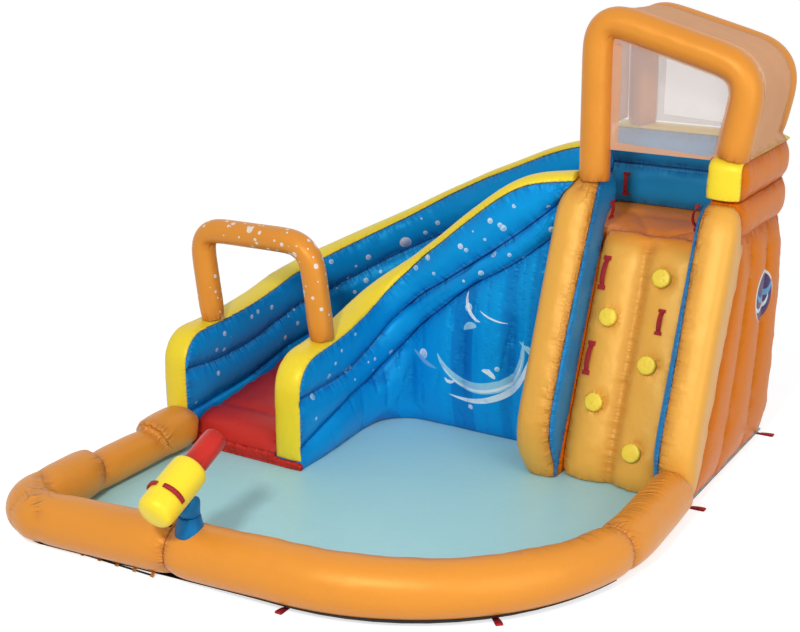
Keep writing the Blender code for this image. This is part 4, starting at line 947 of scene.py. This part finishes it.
def makePoolWall():
    front = softForm("pool_wall_front", "tubeCloth", folds=innerLine("pool_wall_front"), foldShare=0.75)
    folds = planeFolds("pool_wall_left", poolWall["leftFolds"], 0.30)
    left = softForm("pool_wall_left", "tubeCloth", folds=folds, foldShare=1.0)
    softForm("pool_wall_right", "tubeCloth", folds=innerLine("pool_wall_right"), foldShare=0.75)
    return front, left


frontTube, leftTube = makePoolWall()
print("pool wall done")


# Slide: walls, bands, bed and sill

slide = {
    "bedFolds": (((-1.06, 0.10, 0.30), (0.75, 0.66, 0)), ((-1.02, -0.12, 0.28), (0, 1, 0.2))),
    "bedFoldReach": 0.55,
    "bedFoldDepth": 0.015,
}
bandLook = dict(fine=True, angle=44.0, smooth=5, depth=0.6, spread=0.4)


def makeSlide():
    for side in ("inner", "outer"):
        softForm(f"slide_{side}_wall_upper", "wallCloth")
        softForm(f"slide_{side}_wall_lower", "wallCloth")
        softForm(f"slide_{side}_curtain", "curtainCloth", angle=42.0, upright=10.0, spread=0.6)
        softForm(f"slide_{side}_band", "yellowCloth", **bandLook)
    folds = planeFolds("slide_bed", slide["bedFolds"], slide["bedFoldReach"])
    softForm("slide_bed", "redCloth", smooth=6, softFolds=folds, softDepth=slide["bedFoldDepth"])
    softForm("slide_exit_sill", "redCloth", fine=True, smooth=2)


makeSlide()
print("slide done")


# Sprinkler arch and the two arches over the platform

archRoutes = {
    "sprinkler_arch": {
        "corners": ((-1.453, -0.012, 0.70), (-1.528, -0.012, 1.265), (-0.704, -0.022, 1.282),
                    (-0.629, -0.022, 0.69)),
        "radius": 0.080, "bend": 0.18, "cloth": "sprinklerCloth",
    },
    "front_arch": {
        "corners": ((0.697, 0.825, 1.655), (0.680, 0.825, 2.597), (1.579, 0.825, 2.347),
                    (1.494, 0.825, 1.857)),
        "radius": 0.092, "bend": 0.20, "cloth": "archCloth",
    },
    "rear_arch": {
        "corners": ((0.655, 1.625, 1.857), (0.637, 1.625, 2.557), (1.526, 1.625, 2.317),
                    (1.438, 1.625, 1.857)),
        "radius": 0.092, "bend": 0.20, "cloth": "archCloth",
    },
}
bendIn = 0.36                 # how far a bend lies inside its route's corner, as a share of its radius


def makeArches():
    for node, facts in archRoutes.items():
        corners = [Vector(corner) for corner in facts["corners"]]
        folds = []
        for before, corner, after in zip(corners, corners[1:], corners[2:]):
            middle = ((before - corner).normalized() + (after - corner).normalized()).normalized()
            across = Vector((-middle.z, 0, middle.x))
            inside = corner + middle * (facts["bend"] * bendIn + facts["radius"])
            folds += planeFold(node, inside, across, facts["radius"] * 0.7)
        softForm(node, facts["cloth"], folds=folds, angle=45.0, smooth=4)


makeArches()
print("arches done")


# Tower

climb = {
    "footY": 0.33,
    "slope": (0.852 - 0.33) / 1.355,
    "holds": ((1.166, 1.152), (0.895, 0.906), (1.175, 0.689), (0.905, 0.447), (1.180, 0.225)),
    "holdRadius": 0.056,
    "holdHeight": 0.026,
    # share of the radius, metres up and share of the height
    "holdSide": ((0.94, -0.004, 0), (0.99, 0.004, 0), (1, 0, 0.45), (0.97, 0, 0.78), (0.90, 0, 0.96),
                 (0.82, 0, 1)),
    "holdTop": (0.7, 0.55, 0.4, 0.25, 0.12, 0.03),
    "holdDome": 0.0035,
    "middleFold": ((1.045, 0.5, 0.7), (1, 0.05, 0)),
    # they fan out from the middle of the platform's front edge
    "platformFolds": tuple(((1.045, 0.86, 1.36), way) for way in
                           ((0.86, 0.50, 0), (0.80, -0.60, 0), (0.30, -0.95, 0))),
}
climbNormal = Vector((0, -1, climb["slope"])).normalized()


def onClimb(x, z, proud=0.03):
    return Vector((x, climb["footY"] + climb["slope"] * z, z)) + climbNormal * proud


def ringPoints(centre, axis, radius, count):
    first = axis.orthogonal().normalized()
    second = axis.cross(first)
    turns = [2 * math.pi * k / count for k in range(count)]
    return [centre + (first * math.cos(turn) + second * math.sin(turn)) * radius for turn in turns]


def circleRound(centre, axis, radius):
    return ringPoints(centre, axis, radius, int(2 * math.pi * radius / soft["seamSpacing"]))


def makeTower():
    seats = [onClimb(x, z) for x, z in climb["holds"]]
    folds = [p for seat in seats for p in circleRound(seat, climbNormal, climb["holdRadius"])]
    middle = planeFold("climbing_wall", *climb["middleFold"])
    middle += planeFolds("platform_floor", climb["platformFolds"], 0.60)
    softForm("climbing_wall", "climbCloth", angle=40.0, levels=0, smooth=44, folds=folds,
             also=("platform_floor",), softFolds=middle, softDepth=0.012)
    for side in ("left", "right"):
        softForm(f"column_{side}", "columnCloth", angle=46.0, smooth=22)
        softForm(f"column_lining_{side}", "plainBlueCloth", fine=True, angle=55.0, smooth=14, spread=0.6)
        softForm(f"tower_{side}_panel", "sidePrintCloth" if side == "right" else "sideCloth", angle=40.0,
                 upright=14.0, hard=22.0)
    softForm("tower_rear_panel", "sideCloth", angle=40.0, upright=14.0, hard=22.0)
    for level in ("lower", "upper"):
        softForm(f"side_rail_{level}", "sideCloth")
        softForm(f"rear_rail_{level}", "plainBlueCloth")
    for band in ("side_rail_band", "rear_rail_band"):
        softForm(band, "yellowCloth", **bandLook)
    softForm("air_inlet_sleeve", "sideCloth", fine=True, angle=50.0, smooth=1, depth=0.4)


def spun(name, profile, centre, axis, sides=40):
    # a turned form: pairs of radius and height, from the rim's foot to the middle of the top
    rings = [ringPoints(centre + axis * height, axis, radius, sides) for radius, height in profile]
    made = meshFromRings(name, rings, sharp=None)
    made.data.shade_smooth()
    return made


def makeHolds():
    radius, tall = climb["holdRadius"], climb["holdHeight"]
    profile = [(radius * share, height + tall * part) for share, height, part in climb["holdSide"]]
    profile += [(radius * share, tall + climb["holdDome"] * (1 - share)) for share in climb["holdTop"]]
    for number in range(1, len(climb["holds"]) + 1):
        node = f"climbing_hold_{number}"
        low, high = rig.box(node)
        seat = (low + high) / 2 - climbNormal * (tall / 2 + 0.001)
        made = spun(node + "_cloth", profile, seat, climbNormal)
        crossed = []
        for degrees in (45, 135):
            way = turned(degrees, right, up)
            way = (way - climbNormal * way.dot(climbNormal)).normalized()
            crossed += [seat + climbNormal * tall + way * radius * 0.5 * (k / 8 - 1) for k in range(17)]
        rim = circleRound(seat + climbNormal * tall * 0.8, climbNormal, radius * 0.95)
        addSeamData(made.data, rim, crossed)
        dress(made, node, "holdCloth")
        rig.padded(made, fill=soft["fill"])


makeTower()
makeHolds()
print("tower done")


# Water cannon

cannonStand = {
    "seat": Vector((-0.262, -1.7187, 0.2575)),
    "profile": ((0.0740, 0.0), (0.0762, 0.003), (0.0764, 0.007), (0.0752, 0.012), (0.0660, 0.056),
                (0.0600, 0.088), (0.0586, 0.099), (0.0572, 0.1018), (0.0520, 0.1022)),
    "seams": ((0.0764, 0.006), (0.0586, 0.098)),
}


def makeCannon():
    seat = cannonStand["seat"]
    cone = spun("cannon_pedestal_cloth", cannonStand["profile"], seat, up, 64)
    seams = [circleRound(seat + up * height, up, radius) for radius, height in cannonStand["seams"]]
    addSeamData(cone.data, sum(seams, []), [])
    dress(cone, "cannon_pedestal", "coneCloth")
    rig.padded(cone, fill=soft["fill"])
    softForm("cannon_body", "cannonCloth", fine=True, angle=60.0, smooth=5, depth=1.2)
    softForm("cannon_barrel", "redCloth", fine=True, angle=50.0, smooth=2, depth=0.4, spread=0.4)


makeCannon()
print("cannon done")


# Nets

netFacts = {
    "peachNetAlpha": 0.74,
    "clearNetAlpha": 0.24,
    "netHemAlpha": 0.62,
    "shadow": 0.35,           # share of its cover that a net's shadow keeps
    "mesh": 0.0035,           # metres from thread to thread
    "ripple": 0.004,
    "cloudShade": 0.86,
    "spacing": 0.05,          # metres between the points of a net
    "sideHem": 0.012,         # width of the hem, and what it gains at the left and along the foot
    "leftHem": 0.040,
    "footHem": 0.006,
    "hemTuck": 0.010,         # how far it runs on into the arch's seam
    "corners": 0.012,         # corners of the outline that lie closer are one
    "hemThickness": 0.0070,
}


def netMaterial(name, colour, alpha):
    made, tree, shader = newMaterial(name)
    place = placeOf(tree)
    threads = 0.0
    for part in partsOf(place):
        turn = times(part, 2 * math.pi / netFacts["mesh"])
        threads = plus(maths("SINE", turn), threads)
    clouds = noiseAt(place, 5.0)
    shade = tuple(c * netFacts["cloudShade"] for c in ink(colour)[:3]) + (1,)
    cover = plus(alpha, times(threads, 0.03), clamp=True)
    shadowed = addNode(tree, "ShaderNodeLightPath").outputs["Is Shadow Ray"]
    thinner = minus(1.0, times(shadowed, 1.0 - netFacts["shadow"]))
    feed(shader, Base_Color=mixColour(clouds, ink(colour), shade), Alpha=times(cover, thinner),
         Roughness=0.6, Specular_IOR_Level=0.15)
    bumpBy(shader, times(noiseAt(place, 6.0, 3.0), netFacts["ripple"]))
    return made


def gridCut(node, spacing, axes=(0, 1)):
    work = weldedCopy(node)
    low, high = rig.box(node)
    for axis in axes:
        normal = Vector([1.0 if k == axis else 0.0 for k in range(3)])
        count = int((high[axis] - low[axis]) / spacing)
        for k in range(1, count):
            spot = low + normal * spacing * k
            bmesh.ops.bisect_plane(work, geom=allOf(work), plane_co=spot, plane_no=normal)
    return meshFrom(work, node + "_cloth")


def declareSheet(made, width, length, held, restsOn, pieces=()):
    area = sum(polygon.area for polygon in made.data.polygons) / 2
    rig.sheet(made, flat=(width, max(length, area / width * 1.02)), held=held, rests_on=restsOn, area=area,
             with_pieces=list(pieces))


def addPiece(made, node, material):
    made.data.materials.append(materials[material])
    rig.ride(made, bodyOf[node])
    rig.slot(made, slotOf[node])
    return made


ribbonSection = ((-1, -0.5), (-1, 0.5), (-0.94, 1), (0.94, 1), (1, 0.5), (1, -0.5), (0.94, -1), (-0.94, -1))


def ribbonAlong(name, path, across, width, thickness, node, material):
    # a flat strip of webbing along a path, with a rounded rectangle as its section
    rings = []
    last = len(path) - 1
    for i, point in enumerate(path):
        along = (path[min(i + 1, last)] - path[max(i - 1, 0)]).normalized()
        side = (across - along * across.dot(along)).normalized()
        out = along.cross(side)
        rings.append([point + side * a * width / 2 + out * b * thickness / 2 for a, b in ribbonSection])
    return addPiece(meshFromRings(name, rings), node, material)


def netOutline(node):
    low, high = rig.box(node)
    middle = (low.y + high.y) / 2
    heart = Vector(((low.x + high.x) / 2, middle, (low.z + high.z) / 2))
    corners = {(round(v.co.x, 3), round(v.co.z, 3)) for v in nodes[node].data.vertices if v.co.y < middle}
    ordered = sorted(corners, key=lambda c: math.atan2(c[1] - heart.z, c[0] - heart.x))
    kept = []
    for x, z in ordered:
        point = Vector((x, middle, z))
        if not kept or (point - kept[-1]).length > netFacts["corners"]:
            kept.append(point)
    return kept


def makeHem(node, material):
    outline = netOutline(node)
    count = len(outline)
    half = netFacts["hemThickness"] / 2
    rings = []
    for i, point in enumerate(outline):
        before, after = outline[i - 1], outline[(i + 1) % count]
        inward = []
        for first, second in ((before, point), (point, after)):
            run = (second - first).normalized()
            inward.append(Vector((-run.z, 0, run.x)))
        mean = (inward[0] + inward[1]).normalized()
        width = netFacts["sideHem"] + netFacts["leftHem"] * max(0.0, mean.x)
        width += netFacts["footHem"] * max(0.0, mean.z)
        inner = point + mean * width / max(0.55, mean.dot(inward[1]))
        if mean.z < 0.7:
            point = point - mean * netFacts["hemTuck"]
        rings.append([point - back * half, inner - back * half, inner + back * half, point + back * half])
    return addPiece(meshFromRings(node + "_hem", rings, closed=True), node, material)


for name, colour in (("peachNet", "net"), ("clearNet", "clearNet"), ("netHem", "hem")):
    materials[name] = netMaterial(name, colour, netFacts[name + "Alpha"])


def makeNets():
    canopy = gridCut("canopy_net", netFacts["spacing"], (1,))
    canopy.data.shade_smooth()
    dress(canopy, "canopy_net", "peachNet")
    declareSheet(canopy, 0.60, 2.6, "stretched", ["front_arch", "rear_arch"])
    for side, cloth in (("front", "netHem"), ("rear", "clearNet")):
        net = gridCut(side + "_net", netFacts["spacing"], (0, 2))
        dress(net, side + "_net", "clearNet")
        declareSheet(net, 0.80, 0.90, "stretched", [side + "_arch"], [makeHem(side + "_net", cloth)])


makeNets()
print("nets done")


# Ground sheet and pool floor

skirtFacts = {
    "fromX": -0.335,          # starts beside the seam left of the cannon
    "frontY": -1.655,         # middle of the front tube, and of its bend
    "bendRadius": 1.315,
    "level": 0.15,
    "lastAngle": -14.0,
    "low": -84.0,             # how far round the tube it reaches, in degrees below level
    "high": -54.0,            # at its ends, and what it gains halfway
    "gain": 17.0,
    "proud": 0.0016,
    "thickness": 0.0030,
    "foot": 0.0048,           # lowest that it comes down
}


floorFacts = {
    "ripple": 0.006,
    "spacing": 0.04,          # metres between the points of a sheet
    "size": (3.20, 3.65),
}


def underWall(point):
    # outside the middle of the pool wall, where only the dark edge of the base shows
    bend = poolWall["bendCentre"]
    if point.y >= bend.y:
        return False
    if point.x > bend.x:
        return math.hypot(point.x - bend.x, point.y - bend.y) > skirtFacts["bendRadius"]
    return point.y < skirtFacts["frontY"]


def sheetMaterial(name, colour, variation, **settings):
    made, tree, shader = newMaterial(name)
    cloth = useGroup(tree, coatedCloth, Colour=ink(colour), Variation=variation)
    feed(shader, Base_Color=cloth.outputs["Colour"], **settings)
    materials[name] = made
    return tree, shader


def makeFloors():
    tree, shader = sheetMaterial("poolSheet", "poolBlue", 0.05, Roughness=0.42)
    bumpBy(shader, times(noiseAt(placeOf(tree), 3.5, 3.0, 0.6), floorFacts["ripple"]))
    sheetMaterial("undersideSheet", "underside", 0.3, Roughness=0.7, Specular_IOR_Level=0.1)
    pool = solidTree("pool_floor")
    for node, material in (("pool_floor", "poolSheet"), ("ground_sheet", "undersideSheet")):
        sheet = gridCut(node, floorFacts["spacing"])
        dress(sheet, node, material)
        # the pool's own pale face runs on under the tubes
        sheet.data.materials.append(materials["poolSheet" if node == "ground_sheet" else "undersideSheet"])
        for face in sheet.data.polygons:
            if node == "pool_floor":
                face.material_index = int(underWall(face.center))
            elif face.normal.z > 0.5 and not underWall(face.center):
                face.material_index = int(pool.find_nearest(face.center, 0.10)[0] is not None)
        below = "ground" if node == "ground_sheet" else "ground_sheet"
        declareSheet(sheet, *floorFacts["size"], "laid", [below])


makeFloors()
print("floors done")


# Webbing handles, straps and tie-down loops

handleFacts = {
    "ribPitch": 0.004,        # metres from one woven rib to the next
    "ribHeight": 0.0004,
    "strapWidth": 0.74,       # as a share of the solid's width
    "strapThickness": 0.0028,
    "padWidth": 1.2,          # of the sewn ends, as a share of the solid's width
    "padThickness": 0.0030,
    "pad": (0.76, 0.88, 1.04),
    "strapProud": 0.0035,     # height over the cloth of the strap's middle, and of the sewn ends over it
    "padProud": 0.0032,
    # along half the length, and how much of the rise the strap has there
    "path": ((-1.0, 0.0), (-0.86, 0.0), (-0.74, 0.001), (-0.66, 0.30), (-0.5, 0.72), (-0.25, 0.96),
             (0.0, 1.0), (0.25, 0.96), (0.5, 0.72), (0.66, 0.30), (0.74, 0.001), (0.86, 0.0), (1.0, 0.0)),
}


def makeWebbing():
    made, tree, shader = newMaterial("redWebbing")
    parts = partsOf(placeOf(tree))
    run = times(plus(parts[0], parts[2]), 2 * math.pi / handleFacts["ribPitch"])
    rib = maths("SINE", run)
    between = plus(0.5, times(rib, 0.5))
    feed(shader, Base_Color=mixColour(between, ink("webbing"), ink("webbingRib")), Roughness=0.7)
    bumpBy(shader, times(rib, handleFacts["ribHeight"]))
    materials["redWebbing"] = made


def framing(node, facing):
    # the middle, long axis, wide axis and outward axis of a flat bar
    points = np.array([v.co for v in nodes[node].data.vertices])
    low, high = points.min(0), points.max(0)
    middle = (low + high) / 2
    values, vectors = np.linalg.eigh(np.cov((points - middle).T))
    axes = [Vector(vectors[:, k]) for k in (2, 1, 0)]
    if axes[2].dot(facing) < 0:
        axes[2] = -axes[2]
    spans = [points @ np.array(axis) for axis in axes]
    middle = sum((axis * float((span.min() + span.max()) / 2) for axis, span in zip(axes, spans)), Vector())
    return middle, axes, [float(span.max() - span.min()) for span in spans]


def makeHandle(node, facing, rise=0.020, wider=1.0):
    middle, (along, across, out), (length, width, tall) = framing(node, facing)
    foot = middle - out * (tall / 2 - handleFacts["strapProud"])
    half = length / 2
    width *= wider
    path = [foot + along * half * t + out * rise * lift for t, lift in handleFacts["path"]]
    strap = ribbonAlong(node + "_strap", path, across, width * handleFacts["strapWidth"],
                        handleFacts["strapThickness"], node, "redWebbing")
    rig.replaces(strap, node)
    for sign, end in ((-1, "low"), (1, "high")):
        pad = [foot + along * half * sign * t + out * handleFacts["padProud"] for t in handleFacts["pad"]]
        ribbonAlong(f"{node}_pad_{end}", pad, across, width * handleFacts["padWidth"],
                    handleFacts["padThickness"], node, "redWebbing")


def makeHandles():
    for number in range(1, 4):
        makeHandle(f"climb_handle_{number}", climbNormal)
    makeHandle("platform_handle_left", right, rise=0.009, wider=1.9)
    makeHandle("platform_handle_right", -right, rise=0.026, wider=1.7)
    makeHandle("rail_handle", -back)


makeWebbing()
makeHandles()


tieFacts = {
    "nodes": ("tie_down_front_left", "tie_down_front_right", "tie_down_right", "tie_down_back_right"),
    "parkMiddle": Vector((0.3, 0.0, 0.0)),
    "width": 0.8,             # as a share of the solid's width
    "thickness": 0.0026,
    "level": 0.0016,          # of the lower layer's middle
    # along half the length, and the height above the lower layer
    "path": ((-0.98, 0), (-0.3, 0), (0.4, 0), (0.84, 0.0006), (0.96, 0.003), (1.0, 0.0062), (0.95, 0.0095),
             (0.82, 0.0108), (0.4, 0.0096), (0.0, 0.0072), (-0.3, 0.0046), (-0.5, 0.0034)),
}


def makeTies():
    # each loop is one strap, folded back on itself at its outer end
    for node in tieFacts["nodes"]:
        middle, (along, across, out), (length, width, tall) = framing(node, up)
        if along.dot(middle - tieFacts["parkMiddle"]) < 0:
            along = -along
        foot = middle.copy()
        foot.z = tieFacts["level"]
        path = [foot + along * length * t / 2 + up * rise for t, rise in tieFacts["path"]]
        strap = ribbonAlong(node + "_strap", path, across, width * tieFacts["width"], tieFacts["thickness"],
                            node, "redWebbing")
        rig.replaces(strap, node)


makeTies()


def tubePoints(tube, middle, out, angles):
    # where a tube's surface is met from outside, and the way there, at angles round its middle
    found = []
    for degrees in angles:
        way = turned(degrees, out, up)
        hit = tube.ray_cast(middle + way * 0.4, -way)[0]
        if hit is not None:
            found.append((hit, way))
    return found


def makeSkirt():
    # the dark edge of the base sheet, turned up and welded under the front tube
    tube = bvhtree.BVHTree.FromObject(frontTube, bpy.context.evaluated_depsgraph_get())
    centre = poolWall["bendCentre"]
    level = up * skirtFacts["level"]
    straight = np.linspace(skirtFacts["fromX"], centre.x, 14)[:-1]
    stations = [(Vector((x, skirtFacts["frontY"], 0)) + level, -back) for x in straight]
    for degrees in np.linspace(-90, skirtFacts["lastAngle"], 44):
        out = turned(degrees, right, back)
        stations.append((Vector((centre.x, centre.y, 0)) + level + out * skirtFacts["bendRadius"], out))
    rings = []
    for number, (spot, out) in enumerate(stations):
        high = skirtFacts["high"] + skirtFacts["gain"] * math.sin(math.pi * number / (len(stations) - 1))
        found = tubePoints(tube, spot, out, np.linspace(skirtFacts["low"], high, 6))
        inner = [hit + way * skirtFacts["proud"] for hit, way in found]
        outer = [hit + way * (skirtFacts["proud"] + skirtFacts["thickness"]) for hit, way in found]
        if len(inner) == 6:
            rings.append([Vector((p.x, p.y, max(p.z, skirtFacts["foot"]))) for p in inner + outer[::-1]])
    made = addPiece(meshFromRings("base_skirt", rings), "ground_sheet", "undersideSheet")
    made.data.shade_smooth()


makeSkirt()


lacing = {
    "from": -1.26,
    "to": -0.37,
    "step": 0.115,            # from one tab to the next
    "tubeMiddle": Vector((0, -1.72, 0.145)),
    "tabDegrees": (-46, -54, -62, -70),    # where a tab is welded to the tube, below level
    "tabWidth": 0.022,
    "tabThickness": 0.0022,
    "tabReach": 0.016,        # how far it comes out along the ground, and its height there
    "tabFoot": 0.004,
    "tapeIn": 0.010,          # how far the tape lies inside the tabs' ends
    "tapeHeight": 0.009,
    "tapeWidth": 0.010,
    "tapeThickness": 0.0024,
}


def makeLacing():
    # short tabs along the left tube's foot, with the lacing tape that runs through them
    tube = bvhtree.BVHTree.FromObject(leftTube, bpy.context.evaluated_depsgraph_get())
    tape = []
    x = lacing["from"]
    number = 0
    while x < lacing["to"]:
        found = tubePoints(tube, lacing["tubeMiddle"] + right * x, -back, lacing["tabDegrees"])
        rows = [hit + way * lacing["tabThickness"] for hit, way in found]
        if len(rows) == 4:
            number += 1
            foot = Vector((x, rows[2].y - lacing["tabReach"], lacing["tabFoot"]))
            path = rows[:3] + [rows[2] * 0.6 + foot * 0.4, foot]
            ribbonAlong(f"lacing_tab_{number}", path, right, lacing["tabWidth"], lacing["tabThickness"],
                        "pool_wall_left", "orangeCloth")
            tape.append(Vector((x, foot.y + lacing["tapeIn"], lacing["tapeHeight"])))
        x += lacing["step"]
    ribbonAlong("lacing_tape", tape, Vector((0, 0.4, 1)), lacing["tapeWidth"], lacing["tapeThickness"],
                "ground_sheet", "undersideSheet")


easedBy = 0.0009              # metres that the edges of the small pieces are eased


def finished(node, material, taut=False):
    # a small sewn or moulded piece with its edges eased, or with its cloth drawn tight from end to end
    work = weldedCopy(node)
    if taut:
        bmesh.ops.delete(work, geom=work.edges[:], context="EDGES_FACES")
        hull = bmesh.ops.convex_hull(work, input=work.verts[:])
        loose = hull["geom_interior"] + hull["geom_unused"]
        inside = {v for v in loose if isinstance(v, bmesh.types.BMVert)}
        bmesh.ops.delete(work, geom=list(inside), context="VERTS")
    sharp = [edge for edge in work.edges if bendOf(edge) > math.radians(30)]
    bmesh.ops.bevel(work, geom=sharp, offset=easedBy, segments=2, affect="EDGES", clamp_overlap=True)
    made = meshFrom(work, node + "_cloth", 35)
    addSeamData(made.data, [], [])
    return dress(made, node, material)


makeLacing()
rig.padded(finished("cannon_swivel", "coneCloth", taut=True), fill=soft["fill"])
finished("cannon_strap_left", "redWebbing")
finished("cannon_strap_right", "redWebbing")
finished("cannon_hose_stub", "undersideSheet")
print("webbing done")


# Floor, light and camera

studio = {
    "keyPower": 350.0,
    "keyPlace": (2.1, -7.2, 5.6),
    "keySize": 0.8,
    "fillPower": 130.0,
    "fillPlace": (6.5, -3.0, 3.0),
    "fillSize": 4.0,
    "skyLevel": 0.50,
    "skyColour": (0.96, 0.98, 1.0, 1),
    "floorShade": 0.62,
    "floorGlow": 0.66,        # how bright the floor shows by itself, to the camera only
}


def aimedArea(name, place, target, size, power):
    lamp = bpy.data.lights.new(name, "AREA")
    lamp.energy = power
    lamp.size = size
    made = placed(name, lamp)
    made.location = place
    made.rotation_euler = (Vector(target) - Vector(place)).to_track_quat("-Z", "Y").to_euler()
    return made


def seenDirectly(tree):
    # 1 for the camera's rays, also where they were mirrored or went through something
    path = addNode(tree, "ShaderNodeLightPath").outputs
    seen = maths("MAXIMUM", path["Is Camera Ray"], path["Is Transmission Ray"])
    return maths("MAXIMUM", seen, path["Is Glossy Ray"])


def makeStudio():
    scene = bpy.context.scene
    world = bpy.data.worlds.new("paleStudio")
    scene.world = world
    world.use_nodes = True
    tree = world.node_tree
    tree.nodes.clear()
    sky = feed(addNode(tree, "ShaderNodeBackground"), Color=studio["skyColour"])
    sky.inputs["Strength"].default_value = studio["skyLevel"]
    white = feed(addNode(tree, "ShaderNodeBackground"), Color=(1, 1, 1, 1), Strength=1.0)
    mix = addNode(tree, "ShaderNodeMixShader")
    for source, socket in zip((seenDirectly(tree), sky.outputs[0], white.outputs[0]), mix.inputs):
        wire(source, socket)
    wire(mix.outputs[0], addNode(tree, "ShaderNodeOutputWorld").inputs[0])
    aimedArea("key", studio["keyPlace"], (0, 0, 0.6), studio["keySize"], studio["keyPower"])
    aimedArea("fill", studio["fillPlace"], (0, 0, 0.8), studio["fillSize"], studio["fillPower"])
    data = bpy.data.meshes.new("studioFloor")
    data.from_pydata([(-40, -40, 0), (40, -40, 0), (40, 40, 0), (-40, 40, 0)], [], [(0, 1, 2, 3)])
    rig.stage(placed("studioFloor", data))
    made, tree, shader = newMaterial("paleFloor")
    glow = mixColour(seenDirectly(tree), (0, 0, 0, 1), (1, 1, 1, 1))
    feed(shader, Base_Color=(studio["floorShade"],) * 3 + (1,), Roughness=0.9, Emission_Color=glow,
         Emission_Strength=studio["floorGlow"])
    data.materials.append(made)
    scene.view_settings.view_transform = "Standard"


view = {
    "place": (3.829, -6.472, 3.350),
    "down": 17.694,           # degrees below the horizon
    "turn": 31.3,             # degrees from +Y towards -X
    "lens": 62.91,
}


def makeCamera():
    data = bpy.data.cameras.new("photoView")
    data.lens = view["lens"]
    data.sensor_width = 36.0
    made = placed("photoView", data)
    made.location = view["place"]
    made.rotation_euler = (math.radians(90 - view["down"]), 0, math.radians(view["turn"]))
    bpy.context.scene.camera = made


makeStudio()
makeCamera()
print("studio done")

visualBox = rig.bounds()
with open("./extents.json", "w") as out:
    json.dump({"cad": [list(map(float, corner)) for corner in cadBox],
               "visual": [list(map(float, corner)) for corner in visualBox]}, out)
